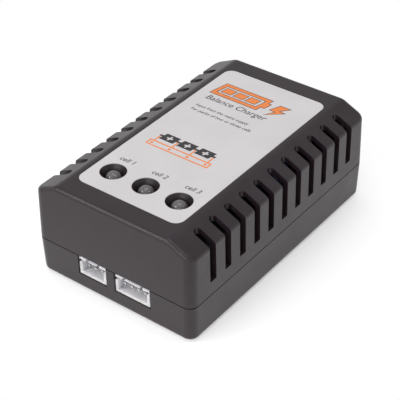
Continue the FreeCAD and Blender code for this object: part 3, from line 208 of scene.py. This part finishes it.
def dipped(name, colour, deep, gloss=0.25):
    """Thick glossy dipped or lacquered coat that pools and thins at edges."""
    pool_mm, pool_depth_mm = 1.8, 0.05
    pore_mm, pore_depth_mm = 0.3, 0.004
    thin_edge_mm = 0.3
    recipe = Recipe(name)
    pools = recipe.noise(pool_mm, 2.0)
    shade = recipe.mix(recipe.spread(pools), colour, deep)
    thinned = recipe.math("MULTIPLY", recipe.edges(thin_edge_mm), 0.4)
    recipe.set("Base Color", recipe.mix(thinned, shade, deep))
    recipe.set("Roughness", recipe.spread(pools, gloss, gloss + 0.12))
    recipe.bump(pools, pool_depth_mm)
    recipe.bump(recipe.noise(pore_mm, 1.0), pore_depth_mm)
    return recipe


# ---------------------------------------------------------------- one function per material slot
def casing_plastic():
    """Warm black ABS with a fine spark-eroded texture."""
    moulded("casing_plastic", tone(33, 24, 29), tone(52, 41, 47), roughness=(0.28, 0.36))


def label_film():
    """Pale silk-finish film: faint mottling, orange peel and painted shade along its edges."""
    mottle_mm, fibre_mm, peel_mm, edge_shade_mm = 14.0, 0.5, 1.1, 0.2
    recipe = Recipe("label_film")
    mottle = recipe.noise(mottle_mm, 3.0)
    fibre = recipe.noise(fibre_mm, 2.0)
    shade = recipe.mix(recipe.spread(mottle), tone(205, 202, 203), tone(211, 207, 209))
    shade = recipe.mix(recipe.ramp(fibre, 0.4, NOISE_HIGH, 0.0, 0.3), shade, tone(200, 197, 199))
    # painted shade: the film is mixed towards grey along its edges
    edge_shade = recipe.math("MULTIPLY", recipe.edges(edge_shade_mm), 0.25)
    recipe.set("Base Color", recipe.mix(edge_shade, shade, tone(150, 146, 146)))
    recipe.set("Roughness", recipe.spread(mottle, 0.36, 0.46))
    recipe.bump(recipe.noise(peel_mm, 2.0), 0.006)
    recipe.bump(fibre, 0.002)


def lamp_resin():
    """Milky, faintly smoky epoxy with mould ripples."""
    recipe = Recipe("lamp_resin")
    smoke = recipe.noise(1.5, 1.0)
    recipe.set("Transmission Weight", 0.6)
    recipe.set("Base Color", recipe.mix(smoke, tone(158, 154, 154), tone(140, 136, 137)))
    recipe.set("Roughness", recipe.ramp(recipe.noise(2.0, 1.0), 0.4, 0.8, 0.08, 0.14))
    recipe.bump(recipe.noise(2.5, 1.0), 0.01)


def fuse_glass():
    """Clear drawn glass with faint lengthwise lines."""
    recipe = Recipe("fuse_glass", roughness=0.02)
    tint = recipe.noise(1.0, 1.0)
    recipe.set("Transmission Weight", 1.0)
    recipe.set("Base Color", recipe.mix(tint, tone(240, 246, 244), tone(222, 232, 230)))
    recipe.bump(recipe.noise(0.25, 1.0, (1, 12, 1)), 0.004)


def socket_plastic():
    """Milky white nylon that lets a little light in."""
    recipe = moulded(
        "socket_plastic", tone(228, 226, 233), tone(216, 213, 221), 0.3, 0.006, (0.45, 0.55), 0.15
    )
    recipe.set("Subsurface Weight", 1.0)
    recipe.set("Subsurface Radius", (1.0, 1.0, 1.1))
    recipe.set("Subsurface Scale", 3 * MM)


def inlet_plastic():
    """Smooth black moulding."""
    moulded("inlet_plastic", tone(34, 33, 34), tone(56, 54, 55), 0.3, 0.006, (0.3, 0.42))


def spacer_plastic():
    """Black nylon tube."""
    moulded("spacer_plastic", tone(36, 36, 37), tone(66, 66, 68), 0.3, 0.008)


def former_plastic():
    """Black phenolic with visible filler."""
    moulded("former_plastic", tone(42, 40, 38), tone(80, 76, 70), 0.25, 0.014)


def film_capacitor_plastic():
    """Yellow boxed capacitor."""
    moulded("film_capacitor_plastic", tone(214, 168, 40), tone(232, 196, 88), 0.5, 0.01)


def package_epoxy():
    """Matt moulding compound with fine mineral specks."""
    moulded("package_epoxy", tone(30, 30, 32), tone(78, 78, 82), 0.18, 0.012, (0.5, 0.62))


def contact_metal():
    """Bright tin plate."""
    metal("contact_metal", tone(212, 212, 212), tone(170, 170, 172), streaks=(1, 8, 1))


def pin_metal():
    """Nickel plate with drawn lines along the pin."""
    metal("pin_metal", tone(222, 216, 202), tone(170, 162, 146), (0.16, 0.32), (1, 10, 1))


def lead_metal():
    """Tinned copper wire."""
    metal("lead_metal", tone(206, 203, 196), tone(160, 152, 140), streaks=(1, 1, 10))


def solder_metal():
    """Solder with a satin, slightly frosted skin."""
    metal("solder_metal", tone(204, 206, 210), tone(158, 160, 166), (0.22, 0.5), (1, 1, 1), 0.25)


def fuse_metal():
    """Nickelled end caps."""
    metal("fuse_metal", tone(214, 212, 206), tone(170, 166, 156), streaks=(6, 1, 1))


def screw_steel():
    """Bright zinc plate with turned marks, dull in patches."""
    recipe = metal("screw_steel", tone(206, 208, 214), tone(140, 142, 148), (0.24, 0.42), (1, 1, 3), 0.2)
    rubbed = recipe.ramp(recipe.noise(0.6, 3.0), 0.45, 0.7)
    shade = recipe.mix(rubbed, tone(198, 200, 206), tone(158, 160, 164))
    recipe.set("Base Color", recipe.mix(recipe.edges(0.12), shade, tone(228, 228, 230)))


def can_aluminium():
    """Drawn aluminium can."""
    metal("can_aluminium", tone(214, 216, 220), tone(180, 182, 188), (0.26, 0.4), (1, 1, 12))


def copper_wire():
    """Enamelled copper, layer on layer."""
    recipe = metal("copper_wire", tone(214, 122, 62), tone(150, 74, 34), (0.2, 0.34), (8, 8, 1), 0.25)
    recipe.set("Coat Weight", 0.6)


def ferrite():
    """Sintered ferrite: dull dark grey, pitted and chipped at the edges."""
    recipe = Recipe("ferrite")
    pits = recipe.ramp(recipe.cells(0.5), 0.08, 0.3)
    body = recipe.noise(2.5, 4.0)
    shade = recipe.mix(body, tone(44, 44, 48), tone(74, 74, 80))
    recipe.set("Base Color", recipe.mix(recipe.edges(0.2), shade, tone(104, 104, 108)))
    recipe.set("Roughness", recipe.spread(body, 0.55, 0.72))
    recipe.bump(pits, 0.03)
    recipe.bump(recipe.noise(0.2, 2.0), 0.02)


def board_laminate():
    """Green solder mask over woven glass, with paler copper tracks under it."""
    recipe = Recipe("board_laminate")
    wander = recipe.noise(4.0, 0.0)
    off_centre = recipe.math("ABSOLUTE", recipe.math("SUBTRACT", wander, 0.5))
    tracks = recipe.ramp(off_centre, 0.02, 0.035, 1.0, 0.0)
    weave = recipe.math("MULTIPLY", recipe.noise(0.4, 0.0, (1, 6, 1)), recipe.noise(0.4, 0.0, (6, 1, 1)))
    mask = recipe.mix(weave, tone(16, 62, 38), tone(30, 92, 58))
    recipe.set("Base Color", recipe.mix(recipe.math("MULTIPLY", tracks, 0.6), mask, tone(74, 136, 84)))
    recipe.set("Roughness", recipe.ramp(weave, 0.1, 0.5, 0.28, 0.4))
    recipe.bump(tracks, 0.03)
    recipe.bump(weave, 0.01)


def thermistor_coating():
    """Dull green-black dipped disc."""
    dipped("thermistor_coating", tone(52, 66, 52), tone(28, 36, 28), 0.45)


def disc_coating():
    """Blue dipped disc."""
    dipped("disc_coating", tone(38, 92, 168), tone(22, 58, 120))


def winding_tape():
    """Yellow polyester tape in overlapping turns."""
    recipe = Recipe("winding_tape")
    turns = recipe.noise(0.9, 1.0, (12, 12, 1))
    creases = recipe.noise(1.4, 3.0)
    recipe.set("Base Color", recipe.mix(turns, tone(222, 176, 44), tone(240, 206, 96)))
    recipe.set("Roughness", recipe.spread(creases, 0.22, 0.4))
    recipe.bump(turns, 0.04)
    recipe.bump(creases, 0.03)


def capacitor_sleeve():
    """Shrunk dark blue sleeve with small wrinkles."""
    recipe = dipped("capacitor_sleeve", tone(28, 34, 66), tone(16, 20, 42), 0.3)
    recipe.bump(recipe.noise(0.5, 3.0, (1, 1, 5)), 0.02)


BAND_CENTRES = (-1.8, -1.1, -0.4, 0.3, 1.8)  # millimetres along a resistor, from its middle
BAND_HALF_WIDTH = 0.2
BROWN_BAND = tone(120, 66, 34)
BLACK_BAND = tone(24, 24, 26)
RED_BAND = tone(190, 46, 38)


def resistor_lacquer():
    """Blue lacquer with five colour bands round the resistor."""
    recipe = dipped("resistor_lacquer", tone(92, 164, 176), tone(70, 136, 150), 0.3)
    low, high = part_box("resistors")
    middle = (low.y + high.y) / 2
    shade = recipe.mix(recipe.noise(1.2, 2.0), tone(96, 166, 178), tone(76, 142, 156))
    soft_edge = 0.04 * MM
    colours = (BROWN_BAND, BLACK_BAND, BLACK_BAND, RED_BAND, BROWN_BAND)
    for offset, colour in zip(BAND_CENTRES, colours):
        distance = recipe.math("ABSOLUTE", recipe.math("SUBTRACT", recipe.axis(1), middle + offset * MM))
        inside = recipe.ramp(distance, BAND_HALF_WIDTH * MM - soft_edge, BAND_HALF_WIDTH * MM, 1.0, 0.0)
        shade = recipe.mix(inside, shade, colour)
    recipe.set("Base Color", shade)


SLOT_MATERIALS = (
    casing_plastic, label_film, screw_steel, lamp_resin, spacer_plastic, socket_plastic, contact_metal,
    inlet_plastic, pin_metal, lead_metal, solder_metal, board_laminate, fuse_glass, fuse_metal,
    film_capacitor_plastic, thermistor_coating, disc_coating, ferrite, copper_wire, can_aluminium,
    capacitor_sleeve, former_plastic, winding_tape, package_epoxy, resistor_lacquer,
)


def ink(name, colour, faded):
    """Screen-printed ink: slightly uneven cover and a soft sheen."""
    recipe = Recipe(name)
    cover = recipe.noise(0.6, 3.0)
    recipe.set("Base Color", recipe.mix(recipe.ramp(cover, 0.4, 0.75), colour, faded))
    recipe.set("Roughness", recipe.spread(cover, 0.34, 0.46))
    recipe.bump(cover, 0.002)
    return recipe.material


# ---------------------------------------------------------------- mesh building
WELD_DISTANCE = 0.0001 * MM
SHARPEST_MITRE = 0.3  # keeps the mitre of a very sharp corner short
SIGN_SLOPE = 0.22  # lean of the signs, sideways per unit of height
LETTER_SLOPE = 0.2  # the same, of the lettering


def piece(name, data, material):
    """Adds a finished mesh or curve to the scene as a piece of the charger."""
    made = bpy.data.objects.new(name, data)
    bpy.context.scene.collection.objects.link(made)
    data.materials.clear()
    data.materials.append(material)
    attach(made, BODY)


def mesh_of(name, work):
    """Mesh from a bmesh, which it frees, with welded points and outward faces."""
    bmesh.ops.remove_doubles(work, verts=work.verts, dist=WELD_DISTANCE)
    bmesh.ops.recalc_face_normals(work, faces=work.faces)
    mesh = bpy.data.meshes.new(name)
    work.to_mesh(mesh)
    work.free()
    return mesh


def add_prism(work, points, low, high):
    """Adds an upright prism over an outline of (x, y) points."""
    foot = [work.verts.new((x, y, low)) for x, y in points]
    roof = [work.verts.new((x, y, high)) for x, y in points]
    work.faces.new(reversed(foot))
    work.faces.new(roof)
    for i in range(len(points)):
        after = (i + 1) % len(points)
        work.faces.new((foot[i], foot[after], roof[after], roof[i]))


def rectangle(left, right, low, high):
    """Anticlockwise outline of a rectangle."""
    return [(left, low), (right, low), (right, high), (left, high)]


def grown(points, amount):
    """Outline pushed outwards by amount all round, with mitred corners. Points run anticlockwise."""
    result = []
    for i, point in enumerate(points):
        here, before, after = Vector(point), Vector(points[i - 1]), Vector(points[(i + 1) % len(points)])
        side_in, side_out = (here - before).normalized(), (after - here).normalized()
        out_in, out_out = Vector((side_in.y, -side_in.x)), Vector((side_out.y, -side_out.x))
        mitre = (out_in + out_out).normalized()
        result.append(tuple(here + mitre * (amount / max(mitre.dot(out_in), SHARPEST_MITRE))))
    return result


def slanted(points, base_y):
    """Outline leaned to the right, like an italic."""
    return [(x + (y - base_y) * SIGN_SLOPE, y) for x, y in points]


# ---------------------------------------------------------------- printed artwork on the label
LABEL_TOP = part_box("top_label")[1].z
INK_THICKNESS = 0.008 * MM
LAMP_Y = sum(corner.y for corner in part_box("lamp_cell_2")) / 2
LAMP_XS = [sum(corner.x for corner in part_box(f"lamp_cell_{i}")) / 2 for i in (1, 2, 3)]


def as_mesh(curve):
    """Mesh of a filled flat curve, made one unit thick. It uses up the curve."""
    curve.extrude = 0.5
    holder = bpy.data.objects.new(curve.name, curve)
    bpy.context.scene.collection.objects.link(holder)
    bpy.context.view_layer.update()
    shape = bpy.data.meshes.new_from_object(holder.evaluated_get(bpy.context.evaluated_depsgraph_get()))
    bpy.data.objects.remove(holder)
    bpy.data.curves.remove(curve)
    return shape


def inked(name, shape, scale, shift, layer, material):
    """Lays a mesh one unit thick on the label as a coat of ink. Layer 1 covers layer 0."""
    height = LABEL_TOP + (layer + 0.5) * INK_THICKNESS
    place = Matrix.Translation((shift[0], shift[1], height))
    shape.transform(place @ Matrix.Diagonal((scale, scale, INK_THICKNESS, 1)))
    work = bmesh.new()
    work.from_mesh(shape)
    bpy.data.meshes.remove(shape)
    piece(name, mesh_of(name, work), material)


def printed(name, loops, material, layer=0):
    """Prints outlines in millimetres. One inside another is a hole, and one inside that is solid."""
    curve = bpy.data.curves.new(name, "CURVE")
    curve.dimensions = "2D"
    curve.fill_mode = "BOTH"
    for loop in loops:
        spline = curve.splines.new("POLY")
        spline.points.add(len(loop) - 1)
        for point, (x, y) in zip(spline.points, loop):
            point.co = (x, y, 0, 1)
        spline.use_cyclic_u = True
    inked(name, as_mesh(curve), MM, (0, 0), layer, material)


def lettering(name, words, material, weight, left, base_y, width):
    """A line of generic words in the built-in typeface, fitted to a width in millimetres."""
    curve = bpy.data.curves.new(name, "FONT")
    curve.body = words
    curve.shear = LETTER_SLOPE
    curve.offset = weight
    curve.resolution_u = 3
    shape = as_mesh(curve)
    xs = [v.co.x for v in shape.vertices]
    scale = width * MM / (max(xs) - min(xs))
    inked(name, shape, scale, (left * MM - min(xs) * scale, base_y * MM), 0, material)


SIGN_RIM = 0.28  # dark rim round the orange parts of the heading
FINE_WEIGHT, FULL_WEIGHT = 0.006, 0.01  # how much the strokes of the letters are thickened
CELL_NUMBER_WIDTH = 5.2


def battery_sign(orange, dark):
    """Heading sign: a battery with three charge bars, and a bolt beside it, in orange with dark rims."""
    left, right, base, high = -15.2, 2.2, 22.6, 29.6
    wall, nub, nub_inset, gap, bar_width = 1.15, 1.2, 2.1, 1.1, 3.45
    shell = [(left, base), (right, base), (right, base + nub_inset), (right + nub, base + nub_inset)]
    shell += [(right + nub, high - nub_inset), (right, high - nub_inset), (right, high), (left, high)]
    inside = rectangle(left + wall, right - wall, base + wall, high - wall)
    bars = []
    for i in range(3):
        x = left + wall + gap + i * (bar_width + gap)
        bars.append(rectangle(x, x + bar_width, base + wall + gap, high - wall - gap))
    bolt = [(6.2, 22.0), (10.6, 25.7), (8.5, 25.9), (10.9, 28.6), (7.4, 28.6), (5.9, 25.0), (8.1, 24.9)]
    solid = [slanted(loop, base) for loop in [shell] + bars] + [bolt]
    hole = slanted(inside, base)
    rims = [grown(loop, SIGN_RIM) for loop in solid] + [grown(hole, -SIGN_RIM)]
    printed("heading_sign_rims", rims, dark)
    printed("heading_sign", solid + [hole], orange, layer=1)


def plus(x, y, reach, half_stroke):
    """Anticlockwise outline of a plus sign."""
    r, h = reach, half_stroke
    corners = [(-r, -h), (-h, -h), (-h, -r), (h, -r), (h, -h), (r, -h)]
    corners += [(-a, -b) for a, b in corners]
    return [(x + a, y + b) for a, b in corners]


def cell_chain(pitch, half_cell, half_height, half_link, link_end):
    """Outline of three cells joined by thin links, about the origin. Its two halves mirror each other."""
    lower = [(-link_end, -half_link)]
    for i in (-1, 0, 1):
        left, right = i * pitch - half_cell, i * pitch + half_cell
        lower += [(left, -half_link), (left, -half_height), (right, -half_height), (right, -half_link)]
    lower += [(link_end, -half_link)]
    return lower + [(-x, -y) for x, y in lower]


def series_sign(orange, dark):
    """Middle sign: three cells in series, with the four taps of a balance lead in a plug below."""
    middle_x, middle_y = -2.6, -5.6
    pitch, half_cell, half_height, half_link = 6.6, 2.6, 1.75, 0.4
    link_overhang, plug_overhang = 0.4, 1.5
    plug_drop, plug_height, stroke, half_pad = 3.2, 2.7, 0.5, 0.45
    chain = cell_chain(pitch, half_cell, half_height, half_link, 1.5 * pitch + link_overhang)
    chain = [(middle_x + x, middle_y + y) for x, y in chain]
    holes = [plus(middle_x + i * pitch, middle_y, reach=1.05, half_stroke=0.3) for i in (-1, 0, 1)]
    printed("series_sign_cells", [slanted(loop, middle_y) for loop in [chain] + holes], dark)
    plug_top = middle_y - plug_drop
    plug_low = plug_top - plug_height
    plug_half = 1.5 * pitch + plug_overhang
    pad_y = (plug_low + plug_top) / 2
    loops = []
    for inset in (0, stroke):
        left, right = middle_x - plug_half + inset, middle_x + plug_half - inset
        loops.append(rectangle(left, right, plug_low + inset, plug_top - inset))
    for i in range(4):
        x = middle_x + (i - 1.5) * pitch
        loops.append(rectangle(x - stroke / 2, x + stroke / 2, plug_top, middle_y - half_link))
        loops.append(rectangle(x - half_pad, x + half_pad, pad_y - half_pad, pad_y + half_pad))
    printed("series_sign_taps", loops, orange)


def label_artwork():
    """All the print on the label."""
    orange = ink("ink_orange", tone(230, 124, 50), tone(240, 150, 86))
    brown = ink("ink_brown", tone(84, 58, 44), tone(108, 80, 62))
    grey = ink("ink_grey", tone(50, 48, 52), tone(78, 76, 80))
    black = ink("ink_black", tone(38, 36, 38), tone(62, 60, 62))
    battery_sign(orange, brown)
    series_sign(orange, black)
    lettering("sub_heading", "Balance Charger", grey, FINE_WEIGHT, left=-14.5, base_y=18.9, width=22.5)
    mains, packs = "Input from the mains supply", "For packs of two or three cells"
    lettering("small_print_1", mains, black, FULL_WEIGHT, left=-14.4, base_y=13.8, width=19.7)
    lettering("small_print_2", packs, black, FULL_WEIGHT, left=-14.5, base_y=11.2, width=22.5)
    for number, x in enumerate(LAMP_XS, start=1):
        left = x / MM - CELL_NUMBER_WIDTH / 2
        name, words = f"cell_number_{number}", f"cell {number}"
        lettering(name, words, grey, FULL_WEIGHT, left, base_y=-22.6, width=CELL_NUMBER_WIDTH)


# ---------------------------------------------------------------- inside the clear lamps, in millimetres
LEAD_OFFSET = 1.27  # from the middle of a lamp to each of its two leads
LEAD_FOOT = 1.95  # from the base of a lens up to where its lead frame starts
STRIP_HALF = 0.25  # half the width of a lead and half the thickness of its strip
CUP_RIM_DROP = 3.1  # from the top of a lens down to the rim of the reflector cup
CUP_DEPTH = 0.56
POST_TOP_DROP = CUP_RIM_DROP + 0.3
CHIP_HALF = 0.17
CHIP_HEIGHT = 0.3
CHIP_BEVEL = 0.03
CHIP_TOP_DROP = CUP_RIM_DROP + CUP_DEPTH - CHIP_HEIGHT
BOND_REACH = 1.2  # from the middle of the die to where the wire meets the post
BOND_RISE = 0.9  # how strongly the wire arches
BOND_RADIUS = 0.03


def add_revolved(work, profile, centre, steps=24):
    """Adds a closed profile of (radius, height) points, turned about an upright axis."""
    rings = []
    for radius, height in profile:
        ring = []
        for i in range(steps):
            angle = 2 * math.pi * i / steps
            offset = Vector((radius * math.cos(angle), radius * math.sin(angle), height))
            ring.append(work.verts.new(centre + offset))
        rings.append(ring)
    for ring, above in zip(rings, rings[1:] + rings[:1]):
        for i in range(steps):
            after = (i + 1) % steps
            work.faces.new((ring[i], ring[after], above[after], above[i]))


def in_metres(points):
    """Points from millimetres to metres."""
    return [(a * MM, b * MM) for a, b in points]


def add_strip(work, outline, centre, thickness):
    """Adds a flat stamped strip: an outline of (x, z) points, thickness along Y."""
    half = thickness / 2
    front = [work.verts.new(centre + Vector((x, -half, z))) for x, z in outline]
    rear = [work.verts.new(centre + Vector((x, half, z))) for x, z in outline]
    work.faces.new(front)
    work.faces.new(list(reversed(rear)))
    for i in range(len(outline)):
        after = (i + 1) % len(outline)
        work.faces.new((front[after], front[i], rear[i], rear[after]))


def lead_frame(number, x, silver):
    """Stamped lead frame of one lamp: an anvil with a reflector cup, and a slimmer post."""
    lens_low, lens_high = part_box(f"lamp_cell_{number}")
    foot = lens_low.z / MM + LEAD_FOOT
    cup_rim = lens_high.z / MM - CUP_RIM_DROP
    post_top = lens_high.z / MM - POST_TOP_DROP
    shelf = cup_rim - 0.55
    lead, half, shelf_half = LEAD_OFFSET, STRIP_HALF, 0.75
    anvil = [(-lead - half, foot), (-lead + half, foot), (-lead + 0.3, foot + 1.0)]
    anvil += [(shelf_half, shelf - 0.55), (shelf_half, shelf), (-shelf_half, shelf)]
    anvil += [(-lead - half, cup_rim - 1.2)]
    post = [(lead - half, foot), (lead + half, foot), (lead + half, post_top)]
    post += [(lead - 0.2, post_top), (lead - 0.3, foot + 1.6)]
    cup = [(0.30, -CUP_DEPTH), (0.95, -CUP_DEPTH), (1.0, 0.0), (0.88, 0.02), (0.45, -0.42), (0.30, -0.42)]
    centre = Vector((x, LAMP_Y, 0))
    work = bmesh.new()
    for outline in (anvil, post):
        add_strip(work, in_metres(outline), centre, 2 * half * MM)
    add_revolved(work, in_metres(cup), centre + Vector((0, 0, cup_rim * MM)))
    piece(f"lamp_{number}_lead_frame", mesh_of("lead_frame", work), silver)


def lamp_chip(number, x, yellow):
    """The light-emitting die at the bottom of the cup."""
    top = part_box(f"lamp_cell_{number}")[1].z - CHIP_TOP_DROP * MM
    half = CHIP_HALF * MM
    outline = rectangle(x - half, x + half, LAMP_Y - half, LAMP_Y + half)
    work = bmesh.new()
    add_prism(work, outline, top - CHIP_HEIGHT * MM, top)
    bmesh.ops.bevel(work, geom=work.edges[:], offset=CHIP_BEVEL * MM, segments=1, affect="EDGES")
    piece(f"lamp_{number}_chip", mesh_of("chip", work), yellow)


def bond_wire(number, x, gold):
    """Arched gold wire from the die to the post."""
    lens_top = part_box(f"lamp_cell_{number}")[1].z
    start = Vector((x, LAMP_Y, lens_top - CHIP_TOP_DROP * MM))
    end = Vector((x + BOND_REACH * MM, LAMP_Y, lens_top - POST_TOP_DROP * MM))
    rise = Vector((0, 0, BOND_RISE * MM))
    curve = bpy.data.curves.new(f"lamp_{number}_bond_wire", "CURVE")
    curve.dimensions = "3D"
    curve.bevel_depth = BOND_RADIUS * MM
    curve.bevel_resolution = 2
    curve.use_fill_caps = True
    spline = curve.splines.new("BEZIER")
    spline.bezier_points.add(1)
    for point, place, inward in zip(spline.bezier_points, (start, end), (1, -1)):
        point.co = place
        point.handle_right = place + rise * inward
        point.handle_left = place - rise * inward
    piece(curve.name, curve, gold)


def lamp_insides():
    """What shows through each clear lens."""
    silver = metal("lead_frame_silver", tone(214, 213, 210), tone(176, 174, 170), (0.38, 0.5)).material
    gold = metal("bond_gold", tone(255, 214, 130), tone(220, 172, 92)).material
    yellow = moulded("die_crystal", tone(206, 178, 92), tone(232, 214, 150), 0.08, 0.002).material
    for number, x in enumerate(LAMP_XS, start=1):
        lead_frame(number, x, silver)
        lamp_chip(number, x, yellow)
        bond_wire(number, x, gold)


# ---------------------------------------------------------------- stage, light and camera
WHITE = (1, 1, 1, 1)
FLOOR_DROP = 0.3 * MM  # keeps the floor clear of the flat base
FLOOR_RADIUS = 0.3
FLOOR_GLOW = 0.25  # keeps the shadow on the floor faint
FADE_START, FADE_END = 0.035, 0.09  # distances from the middle between which the floor fades out


def disc(name, radius):
    """Flat round mesh."""
    work = bmesh.new()
    bmesh.ops.create_circle(work, cap_ends=True, radius=radius, segments=96)
    mesh = bpy.data.meshes.new(name)
    work.to_mesh(mesh)
    work.free()
    return mesh


def see_through(recipe, hidden):
    """Makes a material clear where hidden is 1."""
    clear = recipe.nodes.new("ShaderNodeBsdfTransparent")
    mixed = recipe.nodes.new("ShaderNodeMixShader")
    output = next(node for node in recipe.nodes if node.type == "OUTPUT_MATERIAL")
    recipe.links.new(hidden, mixed.inputs[0])
    recipe.links.new(recipe.shader.outputs["BSDF"], mixed.inputs[1])
    recipe.links.new(clear.outputs["BSDF"], mixed.inputs[2])
    recipe.links.new(mixed.outputs["Shader"], output.inputs["Surface"])


def floor_paper():
    """Faintly glowing white paper that fades out with distance. It is clear to rays from below, and to
    short ones, which start on the base of the casing."""
    recipe = Recipe("studio_floor", roughness=0.9)
    shade = recipe.mix(recipe.noise(60.0, 2.0), (0.94, 0.94, 0.94, 1), (0.97, 0.97, 0.97, 1))
    recipe.set("Base Color", shade)
    recipe.set("Specular IOR Level", 0.1)
    recipe.set("Emission Color", WHITE)
    recipe.set("Emission Strength", FLOOR_GLOW)
    distance = recipe.nodes.new("ShaderNodeVectorMath")
    distance.operation = "LENGTH"
    recipe.links.new(recipe.coordinates, distance.inputs[0])
    fade = recipe.ramp(distance.outputs["Value"], FADE_START, FADE_END)
    from_below = recipe.nodes.new("ShaderNodeNewGeometry").outputs["Backfacing"]
    ray_length = recipe.nodes.new("ShaderNodeLightPath").outputs["Ray Length"]
    from_base = recipe.math("LESS_THAN", ray_length, 5 * FLOOR_DROP)
    see_through(recipe, recipe.math("MAXIMUM", fade, recipe.math("MAXIMUM", from_below, from_base)))
    return recipe.material


def floor():
    """Pale round floor just under the charger."""
    made = bpy.data.objects.new("studio_floor", disc("studio_floor", FLOOR_RADIUS))
    made.data.materials.append(floor_paper())
    made.location.z = -FLOOR_DROP
    bpy.context.scene.collection.objects.link(made)


HORIZON_LIGHT = 0.94
SKY_LIGHT = 0.6
HORIZON_END, SKY_START = 0.1, 0.5  # upward parts of a unit ray between which one turns into the other
BACKDROP_LIGHT = 1.0  # what the camera sees


def surroundings():
    """White backdrop to the eye. As a light it is white up to the horizon and a dimmer tent above."""
    world = bpy.data.worlds.new("studio")
    bpy.context.scene.world = world
    world.use_nodes = True
    nodes, links = world.node_tree.nodes, world.node_tree.links
    nodes.clear()
    coordinates = nodes.new("ShaderNodeTexCoord")
    split = nodes.new("ShaderNodeSeparateXYZ")
    height = nodes.new("ShaderNodeMapRange")
    height.interpolation_type = "SMOOTHSTEP"
    height.inputs["From Min"].default_value = HORIZON_END
    height.inputs["From Max"].default_value = SKY_START
    height.inputs["To Min"].default_value = HORIZON_LIGHT
    height.inputs["To Max"].default_value = SKY_LIGHT
    path = nodes.new("ShaderNodeLightPath")
    level = nodes.new("ShaderNodeMix")
    level.inputs["B"].default_value = BACKDROP_LIGHT
    background = nodes.new("ShaderNodeBackground")
    background.inputs["Color"].default_value = WHITE
    output = nodes.new("ShaderNodeOutputWorld")
    links.new(coordinates.outputs["Generated"], split.inputs["Vector"])
    links.new(split.outputs["Z"], height.inputs["Value"])
    links.new(path.outputs["Is Camera Ray"], level.inputs["Factor"])
    links.new(height.outputs["Result"], level.inputs["A"])
    links.new(level.outputs["Result"], background.inputs["Strength"])
    links.new(background.outputs["Background"], output.inputs["Surface"])


LIGHT_TARGET = Vector((0, 0, 0.02))


def softbox(name, place, width, height, power):
    """Soft light at place, facing the charger. Metres and watts."""
    data = bpy.data.lights.new(name, "AREA")
    data.shape = "RECTANGLE"
    data.size = width
    data.size_y = height
    data.energy = power
    light = bpy.data.objects.new(name, data)
    light.location = place
    light.rotation_euler = (LIGHT_TARGET - Vector(place)).to_track_quat("-Z", "Y").to_euler()
    bpy.context.scene.collection.objects.link(light)


def lights():
    """A long low strip in front, a broad light overhead and a small one to the front left."""
    softbox("front_strip", place=(0, -0.8, 0.45), width=0.9, height=0.25, power=2.3)
    softbox("overhead", place=(0, 0, 1.0), width=0.7, height=0.7, power=2.2)
    softbox("front_left", place=(-0.48, -0.6, 0.64), width=0.3, height=0.3, power=1.7)


CAMERA_AZIMUTH = 37.6  # degrees, from straight ahead of the balance sockets towards +X
CAMERA_ELEVATION = 36.8
CAMERA_ROLL = -0.83
CAMERA_DISTANCE = 374 * MM
CAMERA_TARGET = (2.6 * MM, -6.7 * MM, 16 * MM)
CAMERA_LENS = 111.8  # on a sensor 36 mm wide
CAMERA_CLIP = 10 * MM


def camera():
    """Long-lens view of the front, right side and top."""
    azimuth, elevation, roll = map(math.radians, (CAMERA_AZIMUTH, CAMERA_ELEVATION, CAMERA_ROLL))
    flat = math.cos(elevation)
    back = Vector((math.sin(azimuth) * flat, -math.cos(azimuth) * flat, math.sin(elevation)))
    right = Vector((0, 0, 1)).cross(back).normalized()
    up = back.cross(right)
    turned_right = right * math.cos(roll) + up * math.sin(roll)
    turned_up = up * math.cos(roll) - right * math.sin(roll)
    data = bpy.data.cameras.new("camera")
    data.lens = CAMERA_LENS
    data.clip_start = CAMERA_CLIP
    made = bpy.data.objects.new("camera", data)
    turn = Matrix((turned_right, turned_up, back)).transposed().to_4x4()
    made.matrix_world = Matrix.Translation(Vector(CAMERA_TARGET) + back * CAMERA_DISTANCE) @ turn
    bpy.context.scene.collection.objects.link(made)
    bpy.context.scene.camera = made


for build_material in SLOT_MATERIALS:
    build_material()
label_artwork()
lamp_insides()
floor()
surroundings()
lights()
camera()
bpy.context.scene.view_settings.view_transform = "Standard"
